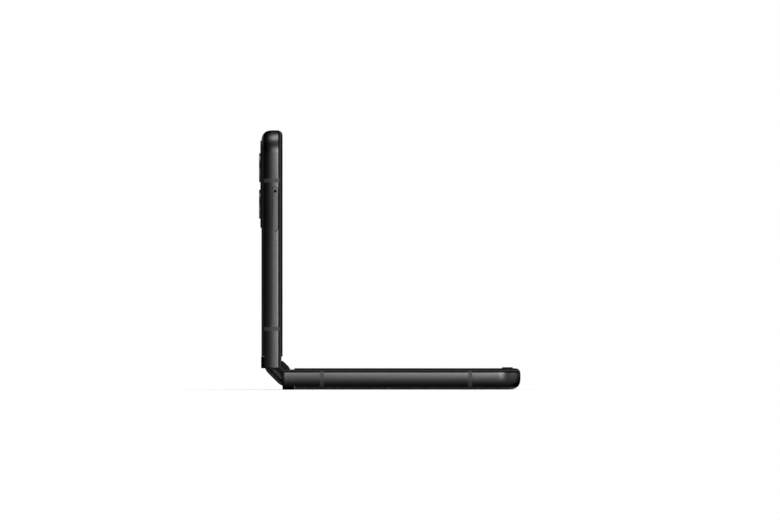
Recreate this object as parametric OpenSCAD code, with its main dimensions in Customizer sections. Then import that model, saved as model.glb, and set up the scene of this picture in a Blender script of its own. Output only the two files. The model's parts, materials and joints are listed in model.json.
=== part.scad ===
// Foldable clamshell smartphone, standing open at a right angle.
// Each half is drawn lying flat in its own frame: u runs from the hinge end to the
// free end, v runs across the phone and w runs up to the top of the display rim.
// The hinge spine is drawn flat as well, with s along it and t towards the display.

/* [Halves] */
// Length of each half, from the hinge end to the free end
half_length = 83; // [78:0.5:90]
// Width of both halves
half_width = 72; // [70:0.5:80]
// Thickness, from the back cover to the top of the display rim
half_thickness = 7.4; // [7.2:0.1:8.4]
// Corner radius at the free ends, seen from above
corner_radius = 8; // [7:0.5:10]
// Depth of the rounding towards the back
back_round = 4; // [3.4:0.1:4.2]
// Depth of the rounding towards the display
front_round = 2.1; // [1.8:0.1:2.2]
// Wall of the side frame
wall = 1.6; // [1.4:0.1:1.8]
// Thickness of the plate under the display
midplate_thickness = 0.6; // [0.5:0.05:0.7]
// Width of the inner flange that carries the back cover
flange_width = 3; // [2.6:0.1:3.1]
// Thickness of the flange that carries the back cover
flange_thickness = 0.6; // [0.4:0.1:0.8]
// Thickness of the back cover glass
glass_thickness = 0.8; // [0.6:0.05:0.9]
// Thickness of the adhesive seal under the back cover
seal_thickness = 0.1; // [0.05:0.05:0.2]
// Width of an antenna band
band_width = 1.35; // [1:0.05:2]
// Depth of an antenna band in the wall
band_depth = 1; // [0.6:0.1:1.2]
// Antenna band nearest the hinge, from the hinge end
band_from_hinge = 13.7; // [13:0.1:16]
// Antenna band nearest the free end, from the free end
band_from_end = 17.6; // [16.9:0.1:19]
// Antenna band above the volume rocker, from the free end
key_band_from_end = 9.2; // [8.9:0.1:9.6]

/* [Display and rim] */
// Depth of the rim's foot below the top of the rim
bezel_depth = 1.1; // [1:0.05:1.15]
// Height of the raised rim
rim_height = 0.4; // [0.35:0.05:0.42]
// Distance from the hinge end to the start of the raised rim
rim_start = 4.15; // [3.6:0.05:5]
// Width of the rim's foot, from the outside
bezel_width = 2.8; // [2.6:0.1:2.9]
// Width of the raised rim, from the outside
rim_width = 3.6; // [3.4:0.1:4]
// Depth of the screen below the top of the rim
screen_drop = 0.45; // [0.44:0.01:0.5]
// Thickness of the folding screen
screen_thickness = 0.3; // [0.2:0.02:0.34]
// Thickness of the backing plate under the screen
plate_thickness = 0.2; // [0.1:0.02:0.22]
// Gap between the rim's foot and the edge of the screen
screen_gap = 0.2; // [0.1:0.05:0.4]
// Distance from the hinge end to the stiff part of the screen
fold_flat = 2.6; // [2.5:0.05:3]
// Height of the bumpers above the rim
bumper_height = 0.36; // [0.2:0.02:0.4]
// Length of the bumpers, along the rim
bumper_length = 4.5; // [3:0.1:6]
// Width of the bumpers
bumper_width = 1.3; // [0.8:0.1:1.4]
// Distance from the free end to the middle of the bumpers
bumper_from_end = 4.15; // [3.6:0.05:6]

/* [Hinge] */
// Half the distance between the two fold axes
axis_half_gap = 2.2; // [2.15:0.05:2.3]
// Depth of the fold axes below the top of the rim
axis_depth = 1.1; // [1.05:0.05:1.15]
// Gap between each half and the middle when the phone lies flat
end_gap = 0.15; // [0.1:0.01:0.2]
// Wall of each half behind the hinge spine
hinge_wall = 0.7; // [0.6:0.05:0.8]
// Height of the lip that stands proud of the back at the hinge
lip_height = 0.1; // [0.05:0.01:0.2]
// Length of that lip
lip_length = 4; // [3.6:0.1:4.2]
// Side wall of each half beside the hinge spine
ear_thickness = 1.2; // [1:0.05:1.3]
// Gap between the hinge spine and the halves
spine_play = 0.15; // [0.12:0.01:0.2]
// Thickness of the spine's cover
cover_thickness = 0.6; // [0.5:0.05:0.7]
// Inward flange at the ends of the spine's cover
cover_flange = 0.4; // [0.2:0.05:0.5]
// Height of the cover's free edges below the fold axes
cover_edge_drop = 0.8; // [0.7:0.05:1]
// Length of the solid hinge end of each half
bulkhead_length = 9; // [8.6:0.1:9.4]
// Radial thickness of the curved guides
guide_thickness = 1; // [0.8:0.05:1.1]
// Width of the curved guides across the phone
guide_width = 5.3; // [4:0.1:6]
// Wall outside the guide grooves
guide_wall = 0.54; // [0.5:0.02:0.6]
// Running gap of the guides in their grooves
guide_play = 0.06; // [0.04:0.01:0.08]
// Reach of the guides round their axis, in degrees
guide_reach = 115; // [108:1:116]
// Thickness of the wing plates
wing_thickness = 0.5; // [0.4:0.02:0.54]
// Length of the wing plates, from the hinge end
wing_end = 11; // [10.6:0.1:11.4]
// Thickness of the slotted link plates
link_thickness = 0.8; // [0.6:0.05:0.9]
// Teeth of each synchronising gear
gear_teeth = 10; // [8:2:14]
// Pitch radius of the gears
pitch_radius = 1.25; // [1.15:0.01:1.3]
// Width of the gears
gear_width = 1.6; // [1.2:0.1:2]
// Radius of the gear shafts
shaft_radius = 0.4; // [0.3:0.02:0.45]
// Radius of the drive pins
pin_radius = 0.35; // [0.3:0.01:0.38]
// Running gap round shafts and pins
running_play = 0.05; // [0.03:0.01:0.07]
// Length of the springs
spring_length = 5.6; // [4:0.1:6]
// Outer radius of the springs
spring_radius = 1.2; // [0.9:0.05:1.3]

/* [Back of the upper half] */
// Length of the raised panel, up to its rounded end
panel_length = 30.4; // [30:0.1:33]
// Distance from the free end to the raised panel
panel_inset = 3.5; // [3.4:0.1:4]
// Height of the raised panel
panel_height = 0.38; // [0.3:0.02:0.5]
// Radius of the camera rings
ring_radius = 5.1; // [4.9:0.05:5.6]
// Height of the camera rings above the panel
ring_height = 0.5; // [0.2:0.02:0.6]
// Wall of the camera rings
ring_wall = 1.2; // [0.9:0.05:1.4]
// Distance from the free end to the first camera
camera_from_end = 12.6; // [12:0.1:14]
// Distance between the cameras
camera_spacing = 12.8; // [12.2:0.1:13]
// Distance from the keys' side to the cameras
camera_from_side = 11.5; // [11:0.1:13]
// Side length of a camera module
module_size = 8.6; // [8:0.1:9]
// Distance from the tray's side to the cover display
cover_display_from_side = 6; // [5:0.1:16]
// Height of the cover display
cover_display_height = 22.4; // [16:0.2:23]

/* [Tray and keys] */
// Length of the card tray's head
tray_length = 15.6; // [14:0.1:17]
// Height of the card tray's head
tray_height = 2; // [1.8:0.05:2.1]
// Distance from the plate under the display to the middle of the tray and the keys
side_drop = 0.9; // [0.8:0.05:1.1]
// Distance between the tray's head and the antenna band beside it
tray_spacing = 1.4; // [1:0.1:3]
// Thickness of the tray's carrier plate
tray_plate = 0.9; // [0.7:0.05:1]
// Reach of the tray into the phone
tray_reach = 21; // [17:0.5:22]
// Radius of the eject hole
eject_radius = 0.45; // [0.4:0.01:0.55]
// Gap round the tray and the keys
key_gap = 0.08; // [0.05:0.01:0.1]
// Length of the power key
power_length = 13; // [10:0.1:13.4]
// Distance between the power key and the volume rocker
key_spacing = 3.5; // [3:0.1:6]
// Length of the volume rocker
volume_length = 18; // [14:0.1:18.4]
// Distance from the free end to the middle of the volume rocker
volume_from_end = 21.5; // [21.2:0.1:22]
// Height of the keys
key_height = 2.2; // [1.8:0.05:2.3]
// Height of the keys above the side wall
key_proud = 0.3; // [0.26:0.01:0.4]
// Travel of the keys
key_travel = 0.25; // [0.15:0.01:0.25]

/* [Inside] */
// Length of the lower battery
lower_battery_length = 48; // [36:0.5:48.4]
// Distance from the start of the main board to the card tray
board_before_tray = 5.3; // [5:0.1:12]
// Gap between the batteries and the side walls
battery_gap = 3.4; // [3.3:0.1:5]
// Gap above the batteries for the flex cables
flex_gap = 0.4; // [0.35:0.01:0.45]
// Thickness of the flex cables
flex_thickness = 0.15; // [0.1:0.01:0.18]
// Width of each flex cable
flex_width = 6; // [4:0.1:6.2]
// Outer radius of the charging coil
coil_radius = 21; // [17:0.5:22]
// Inner radius of the charging coil
coil_bore = 10; // [8:0.5:12]
// Thickness of the charging coil
coil_thickness = 0.35; // [0.25:0.01:0.4]
// Thickness of the circuit boards
board_thickness = 0.6; // [0.5:0.05:0.7]
// Width of the charging port's mouth
port_width = 8.34; // [8.3:0.01:8.4]
// Height of the charging port's mouth
port_height = 2.56; // [2.5:0.01:2.6]
// Sheet thickness of the charging port's shell
port_wall = 0.3; // [0.2:0.02:0.34]
// Depth of the charging port
port_depth = 7.35; // [6.6:0.05:7.6]
// Width of the tongue in the charging port
tongue_width = 6.69; // [6.4:0.01:6.8]
// Thickness of the tongue in the charging port
tongue_height = 0.7; // [0.6:0.01:0.8]

/* [Hidden] */
$fn = 48;

// Exponents of the rounded side profile and the steps it is drawn in.
back_power = 2.6;
front_power = 2.4;
back_steps = 8;
front_steps = 6;

// Gaps between parts that lie on or beside each other, and the overshoot of cuts.
face_gap = 0.02;
fit_gap = 0.05;
over = 1;
long_cut = 5;
tiny = 0.001;

// Heights of the layers, down from the top of the rim.
seam_gap = 0.04;
frame_top = -bezel_depth;
midplate_low = frame_top - midplate_thickness;
cover_top = -half_thickness + glass_thickness;
frame_low = cover_top + seal_thickness;
flange_top = frame_low + flange_thickness;
half_side = half_width / 2;
back_start = back_round - half_thickness;
compartment_end = half_length - wall;
compartment_side = half_side - wall;
screen_inset = bezel_width + screen_gap;

// Places of the hinge.
half_turn = 45;
closing_turn = 90.65;
axis_u = axis_half_gap - end_gap;
axis_w = -axis_depth;
cavity_radius = half_thickness - axis_depth - hinge_wall;
cover_outer = cavity_radius - spine_play;
cover_inner = cover_outer - cover_thickness;
spine_side = half_side - ear_thickness - spine_play;
block_radius = cover_inner - fit_gap;
floor_t = axis_w - cover_inner;
block_floor = axis_w - block_radius;
fold_dip = 2.65;
fold_side_gap = axis_half_gap + 2 * fit_gap;
plate_top = -fold_dip - 2 * fit_gap;
block_top = axis_w - 0.65;
guide_outer = block_radius - guide_wall - guide_play;
guide_inner = guide_outer - guide_thickness;
guide_start = 7;
wing_clearance = 0.2;
wing_top = -(screen_drop + screen_thickness + plate_thickness + wing_clearance);
wing_low = wing_top - wing_thickness;
wing_floor = wing_low - fit_gap;
stage_gap = 0.15;
foot_width = 1.9;
cap_gap = 0.45;
cap_far = spine_side - 2 * fit_gap;
cap_near = half_side - screen_inset + fit_gap;
block_outer = cap_near - cap_gap - foot_width;
guide_end_wall = 0.6;
block_inner = block_outer - guide_width - guide_end_wall - 2 * fit_gap;
guide_near = block_inner + guide_end_wall;
upper_link_far = block_inner - stage_gap;
upper_link_near = upper_link_far - link_thickness;
lower_link_far = upper_link_near - stage_gap;
lower_link_near = lower_link_far - link_thickness;
gear_far = lower_link_near - stage_gap;
gear_near = gear_far - gear_width;
frame_plate_width = 2;
frame_plate_far = gear_near - fit_gap;
frame_plate_near = frame_plate_far - frame_plate_width;
row_gap = 0.1;
collar_length = 1;
cam_length = 1.5;
collar_far = frame_plate_near - row_gap;
collar_near = collar_far - collar_length;
cam_far = collar_near - row_gap;
cam_near = cam_far - cam_length;
spring_far = cam_near - row_gap;
spring_near = spring_far - spring_length;
tail_far = spring_near - row_gap;
tail_near = tail_far - frame_plate_width;

// Gears: a row of four, the outer two a little higher to clear the cover.
gear_module = 2 * pitch_radius / gear_teeth;
tip_share = 0.8;
root_share = 1.1;
tip_radius = pitch_radius + tip_share * gear_module;
root_radius = pitch_radius - root_share * gear_module;
gear_rise = 0.2;
idler_s = pitch_radius;
gear_floor_gap = 0.4;
idler_t = floor_t + tip_radius + gear_floor_gap;
crank_s = idler_s + sqrt(pow(2 * pitch_radius, 2) - pow(gear_rise, 2));
crank_t = idler_t + gear_rise;
crank_throw = 0.85;
crank_angle = 45;
link_track = norm([crank_s - axis_half_gap, crank_t - axis_w]);
track_angle = atan2(crank_t - axis_w, crank_s - axis_half_gap);
link_rim = 0.75;
link_radius = link_track + link_rim;

// The fold of the screen: an arc of constant length that joins both halves.
screen_mid = -(screen_drop + screen_thickness / 2);
fold_offset = -axis_half_gap * sin(half_turn) + axis_w * cos(half_turn) + screen_mid - axis_w;
fold_radius = (-axis_half_gap - fold_offset * tan(half_turn) + axis_half_gap * cos(half_turn)
    + axis_w * sin(half_turn)) / (tan(half_turn) - half_turn * PI / 180);
fold_centre_t = (fold_radius + fold_offset) / cos(half_turn);
fold_tangent_u = fold_radius * half_turn * PI / 180 - end_gap;
flex_mid = wing_top - flex_thickness / 2;
flex_fold_radius = fold_radius + screen_mid - flex_mid;
flex_centre = 5;
flex_run_top = midplate_low - 2 * fit_gap;

// Places on the upper half.
camera_v = half_side - camera_from_side;
camera_us = [half_length - camera_from_end, half_length - camera_from_end - camera_spacing];
panel_top = -half_thickness - panel_height;
panel_end = half_length - panel_inset;
side_depth = side_drop - midplate_low;
tray_u = half_length - band_from_end - band_width / 2 - tray_spacing - tray_length / 2;
carrier_length = 11;
carrier_u = tray_u - 1.2;
volume_u = half_length - volume_from_end;
power_u = volume_u - volume_length / 2 - key_spacing - power_length / 2;
front_camera_from_end = 5.8;
front_camera_u = half_length - front_camera_from_end;
camera_window = 1.5;
camera_stem = 2.6;
stem_play = 0.15;
flash_u = (camera_us[0] + camera_us[1]) / 2;
flash_radius = 1.6;
flash_v = camera_v - ring_radius - 2 * flash_radius;
display_flash_gap = 1;
cover_display_low = cover_display_from_side - half_side;
cover_display_width = flash_v - flash_radius - display_flash_gap - cover_display_low;
display_window_u = (camera_us[0] + camera_us[1]) / 2 + 0.4;
display_window_v = cover_display_low + cover_display_width / 2;

// Boards, screws and the charging port.
battery_start = wing_end + 1.2;
board_gap = 1.3;
edge_gap = 0.2;
battery_top = midplate_low - flex_gap;
shield_thickness = 0.15;
coil_low = cover_top + seal_thickness + face_gap;
coil_top = coil_low + coil_thickness;
shield_top = coil_top + shield_thickness;
battery_low = shield_top + face_gap;
lower_board_start = battery_start + lower_battery_length + board_gap;
board_end = half_length - flange_width - edge_gap;
board_side = half_side - flange_width - edge_gap;
lower_board_low = flange_top - edge_gap;
lower_board_top = lower_board_low + board_thickness;
port_outer_height = port_height + 2 * port_wall;
port_w = (midplate_low + lower_board_low) / 2;
port_mouth = half_length - edge_gap;
upper_board_start = carrier_u - carrier_length / 2 - board_before_tray;
upper_battery_length = upper_board_start - board_gap - battery_start;
upper_board_depth = 1.8;
upper_board_top = midplate_low - upper_board_depth;
upper_board_low = upper_board_top - board_thickness;
screw_radius = 0.55;
screw_play = fit_gap;
screw_head = 0.95;
head_height = 0.3;
post_radius = 1.3;
wing_screw_u = wing_end - 0.9;
wing_pocket_near = lower_link_near - edge_gap;
wing_pocket_far = guide_near + guide_width + edge_gap;
boss_height = 2.6;
wing_hole_depth = 2;
boss_side = 0.4;
wing_screw_vs = [wing_pocket_near + 2.6, wing_pocket_far - 1.8];
post_u = board_end - 2.5 * post_radius;
post_v = port_width / 2 + port_wall + post_radius + 1.2;
upper_post_v = -0.6 * board_side;
upper_post_us = [board_end - 3 * post_radius, upper_board_start + 1.4 * post_radius];
upper_post_places = [for (u = upper_post_us) [u, upper_post_v]];
magnet_from_end = 8.5;
magnet_size = [6, 1.8, 1.4];
magnet_v = compartment_side - 1.9 - magnet_size[1] / 2;

// Origin: the lip of the lower half rests on the surface, midway along the phone.
rest_height = half_thickness + lip_height;
corner_shift = axis_u - axis_w - sqrt(2) * axis_half_gap;
rest_shift = (panel_height + ring_height + half_thickness - half_length + corner_shift) / 2;

// Placing.
module in_lower() translate([rest_shift - corner_shift, 0, rest_height]) children();
module in_spine() in_lower() translate([axis_u, 0, axis_w]) rotate([0, half_turn, 0])
    translate([-axis_half_gap, 0, -axis_w]) children();
module in_upper() in_spine() mirror([1, 0, 0]) translate([axis_half_gap, 0, axis_w])
    rotate([0, -half_turn, 0]) translate([-axis_u, 0, -axis_w]) children();
module both_sides() {
    children();
    mirror([0, 1, 0]) children();
}

// Extrusions: across takes outlines in (u, w), along takes (v, w), upright takes (u, v).
module across(from, to) translate([0, to, 0]) rotate([90, 0, 0]) linear_extrude(to - from) children();
module along(from, to) translate([from, 0, 0]) rotate([90, 0, 90]) linear_extrude(to - from) children();
module upright(from, to) translate([0, 0, from]) linear_extrude(to - from) children();

// The rounded side profile: how far the surface lies inside the widest line at height w.
function rounded(size, power, share) = size * (1 - pow(1 - pow(min(share, 1), power), 1 / power));
function edge_inset(w) =
    w > -front_round ? rounded(front_round, front_power, (w + front_round) / front_round)
    : w < back_start ? rounded(back_round, back_power, (back_start - w) / back_round)
    : 0;
function between(w, low, high) = w > low + tiny && w < high - tiny;
function back_height(k) = back_start - back_round * pow(sin(90 * k / back_steps), 2 / back_power);
function front_height(k) = -front_round + front_round * pow(sin(90 * k / front_steps), 2 / front_power);
function heights(low, high) = concat(
    [low],
    [for (k = [back_steps - 1:-1:0]) if (between(back_height(k), low, high)) back_height(k)],
    [for (k = [0:front_steps - 1]) if (between(front_height(k), low, high)) front_height(k)],
    [high]
);
function reversed(list) = [for (k = [len(list) - 1:-1:0]) list[k]];
function spot(r, a) = r * [cos(a), sin(a)];
function section_across(low, high) = concat(
    [for (w = heights(low, high)) [half_side - edge_inset(w), w]],
    [for (w = reversed(heights(low, high))) [edge_inset(w) - half_side, w]]
);
function end_section(low, high, reach) = concat(
    [[0, low]],
    [for (w = heights(low, high)) [reach - edge_inset(w), w]],
    [[0, high]]
);

// The outer body of a half between two heights.
module half_body(low, high, from) {
    along(from, half_length - corner_radius) polygon(section_across(low, high));
    translate([half_length - corner_radius, 0, 0])
        across(corner_radius - half_side, half_side - corner_radius)
        polygon(end_section(low, high, corner_radius));
    for (side = [-1, 1])
        translate([half_length - corner_radius, side * (half_side - corner_radius), 0])
            rotate_extrude(angle = 90, start = side > 0 ? 0 : -90)
            polygon(end_section(low, high, corner_radius));
}

// Plan of a half, drawn in by inset, from u = from to the free end.
module plan(inset, from) {
    r = max(corner_radius - inset, 0.5);
    reach = half_length - inset - r;
    side = half_side - inset;
    translate([from, -side]) square([reach - from, 2 * side]);
    translate([reach - 1, r - side]) square([r + 1, 2 * (side - r)]);
    for (end = [-1, 1])
        translate([reach, end * (side - r)]) circle(r);
}

module stadium(length, height) {
    square([length - height, height], center = true);
    for (end = [-1, 1])
        translate([end * (length - height) / 2, 0]) circle(height / 2);
}

module ring_sector(inner, outer, from, to) {
    reach = 2 * outer;
    third = (to - from) / 3;
    intersection() {
        difference() {
            circle(outer);
            circle(inner);
        }
        polygon(concat([[0, 0]], [for (k = [0:3]) spot(reach, from + k * third)]));
    }
}

// Outline of the hinge spine: two discs about the fold axes, joined by a flat.
module spine_outline(radius, top) {
    intersection() {
        union() {
            for (side = [-1, 1])
                translate([side * axis_half_gap, axis_w]) circle(radius);
            translate([-axis_half_gap, axis_w - radius]) square([2 * axis_half_gap, radius]);
        }
        reach = 2 * (radius + axis_half_gap);
        translate([-reach, top - 2 * reach]) square(2 * reach);
    }
}

module screw_hole(u, v, low, height)
    translate([u, v, low]) cylinder(r = screw_radius + screw_play, h = height);

module screw(from, to, head_down) {
    translate([0, 0, min(from, to)]) cylinder(r = screw_radius, h = abs(to - from));
    translate([0, 0, head_down ? from - head_height : from])
        cylinder(r = screw_head, h = head_height);
}

// Frames
module hinge_cavity() {
    side = spine_side + spine_play;
    translate([axis_u, side, axis_w]) rotate([90, 0, 0]) cylinder(r = cavity_radius, h = 2 * side);
    translate([-long_cut, -side, axis_w - cavity_radius])
        cube([axis_u + long_cut, 2 * side, cavity_radius + long_cut]);
}

module wing_bosses() {
    start = bulkhead_length - 0.5;
    across_size = wing_pocket_far - wing_pocket_near + 2 * boss_side;
    both_sides()
        translate([start, wing_pocket_near - boss_side, midplate_low - boss_height])
        cube([battery_start - 0.7 - start, across_size, boss_height + tiny]);
}

module wing_cuts() {
    start = axis_u + 3;
    both_sides() {
        translate([start, wing_pocket_near, wing_floor])
            cube([wing_end + edge_gap - start, wing_pocket_far - wing_pocket_near, half_thickness]);
        for (v = wing_screw_vs)
            screw_hole(wing_screw_u, v, wing_floor - wing_hole_depth, wing_hole_depth + over);
    }
    side = flex_centre + flex_width / 2 + 0.3;
    translate([start, -side, flex_run_top - flex_thickness - 2 * fit_gap])
        cube([battery_start + 0.6 - start, 2 * side, half_thickness]);
}

// An antenna band sits near both ends of each side wall.
lower_bands = [
    [-1, band_from_hinge],
    [-1, half_length - band_from_end],
    [1, band_from_hinge],
    [1, half_length - band_from_end]
];
upper_bands = [
    [-1, band_from_hinge],
    [-1, half_length - band_from_end],
    [1, band_from_hinge],
    [1, half_length - key_band_from_end]
];
module half_frame(posts, post_low, bands) {
    difference() {
        union() {
            difference() {
                half_body(frame_low, frame_top, 0);
                upright(flange_top, midplate_low) plan(wall, bulkhead_length);
                upright(frame_low - 1, flange_top + tiny) plan(flange_width, bulkhead_length);
            }
            along(0, lip_length) polygon(section_across(-half_thickness, frame_low));
            translate([0, back_round + 0.2 - half_side, -half_thickness - lip_height])
                cube([lip_length, 2 * (half_side - back_round - 0.2), lip_height + 0.3]);
            wing_bosses();
            for (place = posts)
                translate([place[0], place[1], post_low])
                cylinder(r = post_radius, h = midplate_low - post_low + tiny);
        }
        hinge_cavity();
        wing_cuts();
        for (place = posts)
            screw_hole(place[0], place[1], post_low - over, midplate_low - post_low + over / 2);
        for (band = bands)
            translate([band[1], band[0] * half_side, (frame_low + frame_top) / 2])
            cube([band_width, 2 * band_depth, frame_top - frame_low + 2], center = true);
    }
}

lower_posts = [[post_u, -post_v], [post_u, post_v]];
speaker_low = magnet_size[1] / 2 + 1 - magnet_v;
speaker_high = -(post_v + post_radius + 1);
speaker_mid = (speaker_low + speaker_high) / 2;
speaker_pitch = 2;
speaker_holes = [for (k = [-2.5:2.5]) speaker_mid + speaker_pitch * k];
speaker_hole_radius = 0.6;
mic_radius = 0.5;
lower_mic_v = 12;
upper_mic_v = 14;
upper_mic_w = -3.4;
module end_hole(v, w, radius)
    translate([compartment_end - 0.5, v, w]) rotate([0, 90, 0]) cylinder(r = radius, h = wall + 2 * over);
module lower_frame() color([0.12, 0.12, 0.125]) in_lower() difference() {
    half_frame(lower_posts, lower_board_top + face_gap, lower_bands);
    translate([half_length + 1, 0, port_w]) rotate([90, 0, -90]) linear_extrude(wall + 2)
        stadium(port_width + 2 * (port_wall + fit_gap), port_outer_height + 2 * fit_gap);
    for (v = speaker_holes)
        end_hole(v, port_w, speaker_hole_radius);
    end_hole(lower_mic_v, port_w, mic_radius);
}

module side_slot(u, side, length, height) {
    translate([u, side * (half_side + over), -side_depth]) rotate([side * 90, 0, 0])
        linear_extrude(over + wall + 2 * key_travel + 2 * flange_back)
        stadium(length + 2 * key_gap, height + 2 * key_gap);
}

module upper_frame() color([0.12, 0.12, 0.125]) in_upper() difference() {
    half_frame(upper_post_places, upper_board_top + face_gap, upper_bands);
    side_slot(tray_u, -1, tray_length, tray_height);
    side_slot(power_u, 1, power_length, key_height);
    side_slot(volume_u, 1, volume_length, key_height);
    translate([front_camera_u, 0, midplate_low - over])
        cylinder(r = camera_stem + stem_play, h = half_thickness);
    end_hole(upper_mic_v, upper_mic_w, mic_radius);
}

module antenna_bands(bands) {
    for (band = bands)
        along(band[1] - band_width / 2, band[1] + band_width / 2) intersection() {
            polygon(section_across(frame_low, frame_top));
            translate([band[0] * half_side, 0]) square([2 * band_depth, 2 * half_thickness], center = true);
        }
}
module lower_antenna_bands() color([0.2, 0.2, 0.21]) in_lower() antenna_bands(lower_bands);
module upper_antenna_bands() color([0.2, 0.2, 0.21]) in_upper() antenna_bands(upper_bands);

// Rims
module bezel() {
    difference() {
        half_body(frame_top + seam_gap, -rim_height, 0);
        upright(-half_thickness, over) plan(bezel_width, -over);
        along(-over, axis_u + cavity_radius + 2 * fit_gap)
            square([2 * (spine_side + spine_play), 2 * half_thickness], center = true);
    }
    difference() {
        half_body(-rim_height, 0, rim_start);
        upright(-half_thickness, over) plan(rim_width, rim_start - over);
    }
}
module lower_bezel() color([0.07, 0.07, 0.08]) in_lower() bezel();
module upper_bezel() color([0.07, 0.07, 0.08]) in_upper() bezel();

// Bumpers follow the rounded corners of the rim.
bumper_ring = corner_radius - (front_round + rim_width) / 2;
bumper_angle = acos((corner_radius - bumper_from_end) / bumper_ring);
bumper_step = 0.3;
module bumper_plan(inset) {
    half_sweep = (bumper_length - bumper_width) / (2 * bumper_ring) * 180 / PI;
    thick = bumper_width / 2 - inset;
    first = bumper_angle - half_sweep;
    last = bumper_angle + half_sweep;
    ring_sector(bumper_ring - thick, bumper_ring + thick, first, last);
    for (end = [first, last])
        translate(spot(bumper_ring, end)) circle(thick);
}
module lower_bumpers() color([0.05, 0.05, 0.05]) in_lower() both_sides()
    translate([half_length - corner_radius, half_side - corner_radius, 0]) {
        upright(0, bumper_height / 2) bumper_plan(0);
        upright(bumper_height / 2, bumper_height) bumper_plan(bumper_step);
    }

// Back covers
cover_start = lip_length + fit_gap;
module lower_back_cover() color([0.08, 0.08, 0.09]) in_lower()
    half_body(-half_thickness, cover_top, cover_start);

module upper_back_cover() color([0.08, 0.08, 0.09]) in_upper() difference() {
    half_body(-half_thickness, cover_top, cover_start);
    translate([display_window_u, display_window_v, -half_thickness])
        cube([cover_display_height + 0.4, cover_display_width + 0.4, half_thickness], center = true);
    for (u = camera_us)
        translate([u, camera_v, -half_thickness - over]) cylinder(r = ring_radius - 0.4, h = half_thickness);
    translate([flash_u, flash_v, -half_thickness - over])
        cylinder(r = flash_radius + fit_gap, h = half_thickness);
}

module panel_plan() {
    r = corner_radius - panel_inset;
    start = panel_end - panel_length;
    side = half_side - panel_inset;
    translate([start, -side]) square([panel_length - r, 2 * side]);
    translate([panel_end - r - 1, r - side]) square([r + 1, 2 * (side - r)]);
    for (end = [-1, 1])
        translate([panel_end - r, end * (side - r)]) circle(r);
}
module cover_panel() color([0.03, 0.03, 0.035]) in_upper() difference() {
    upright(panel_top, -half_thickness) panel_plan();
    for (u = camera_us)
        translate([u, camera_v, panel_top - over]) cylinder(r = ring_radius + fit_gap, h = half_thickness);
    translate([flash_u, flash_v, panel_top - over]) cylinder(r = flash_radius + fit_gap, h = half_thickness);
}
module cover_display() color([0.02, 0.02, 0.03]) in_upper()
    translate([display_window_u, display_window_v, 0])
    upright(-half_thickness + 2 * face_gap, cover_top + 0.2)
    square([cover_display_height, cover_display_width], center = true);

lens_radius = ring_radius - ring_wall;
lens_sink = 0.15;
module camera_rings() color([0.3, 0.3, 0.31]) in_upper()
    for (u = camera_us)
        translate([u, camera_v, 0]) difference() {
            upright(panel_top - ring_height, -half_thickness - face_gap) circle(ring_radius);
            upright(panel_top - ring_height - over, 0) circle(lens_radius);
        }
module camera_lenses() color([0.05, 0.05, 0.08]) in_upper()
    for (u = camera_us)
        translate([u, camera_v, 0]) upright(panel_top - ring_height + lens_sink, -half_thickness - face_gap)
        circle(lens_radius - face_gap);

module_top = midplate_low - edge_gap;
barrel_radius = 2.9;
barrel_length = 2.4;
barrel_rest = 0.45;
module camera_body() {
    translate([-module_size / 2, -module_size / 2, cover_top + fit_gap])
        cube([module_size, module_size, module_top - cover_top - fit_gap]);
    upright(-half_thickness + 2 * fit_gap, cover_top + 2 * fit_gap) circle(barrel_radius + 1);
}
module camera_modules() color([0.15, 0.15, 0.16]) in_upper() {
    translate([camera_us[0], camera_v, 0]) difference() {
        camera_body();
        translate([0, 0, -half_thickness - over])
            cylinder(r = barrel_radius + running_play, h = over + barrel_rest + barrel_length + 0.35);
    }
    translate([camera_us[1], camera_v, 0]) camera_body();
}
module focus_barrel() color([0.1, 0.1, 0.11]) in_upper()
    translate([camera_us[0], camera_v, -half_thickness + barrel_rest]) difference() {
        cylinder(r = barrel_radius, h = barrel_length);
        translate([0, 0, -over]) cylinder(r = barrel_radius / 2, h = over + barrel_length / 4);
    }
module flash_lens() color([0.9, 0.88, 0.7]) in_upper()
    translate([flash_u, flash_v, panel_top])
    cylinder(r = flash_radius, h = panel_height + glass_thickness - face_gap);

// Screens
module screen_sheet(low, high) upright(low, high) plan(screen_inset, fold_flat);
screen_low = -(screen_drop + screen_thickness);
plate_low = screen_low - plate_thickness;
module lower_display() color([0.03, 0.03, 0.04]) in_lower() screen_sheet(screen_low, -screen_drop);
module lower_display_plate() color([0.5, 0.5, 0.52]) in_lower() screen_sheet(plate_low, screen_low);
module upper_display() color([0.03, 0.03, 0.04]) in_upper() difference() {
    screen_sheet(screen_low, -screen_drop);
    translate([front_camera_u, 0, -half_thickness]) cylinder(r = camera_window, h = 2 * half_thickness);
}
module upper_display_plate() color([0.5, 0.5, 0.52]) in_upper() difference() {
    screen_sheet(plate_low, screen_low);
    translate([front_camera_u, 0, -half_thickness]) cylinder(r = camera_window + 0.3, h = 2 * half_thickness);
}

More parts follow.
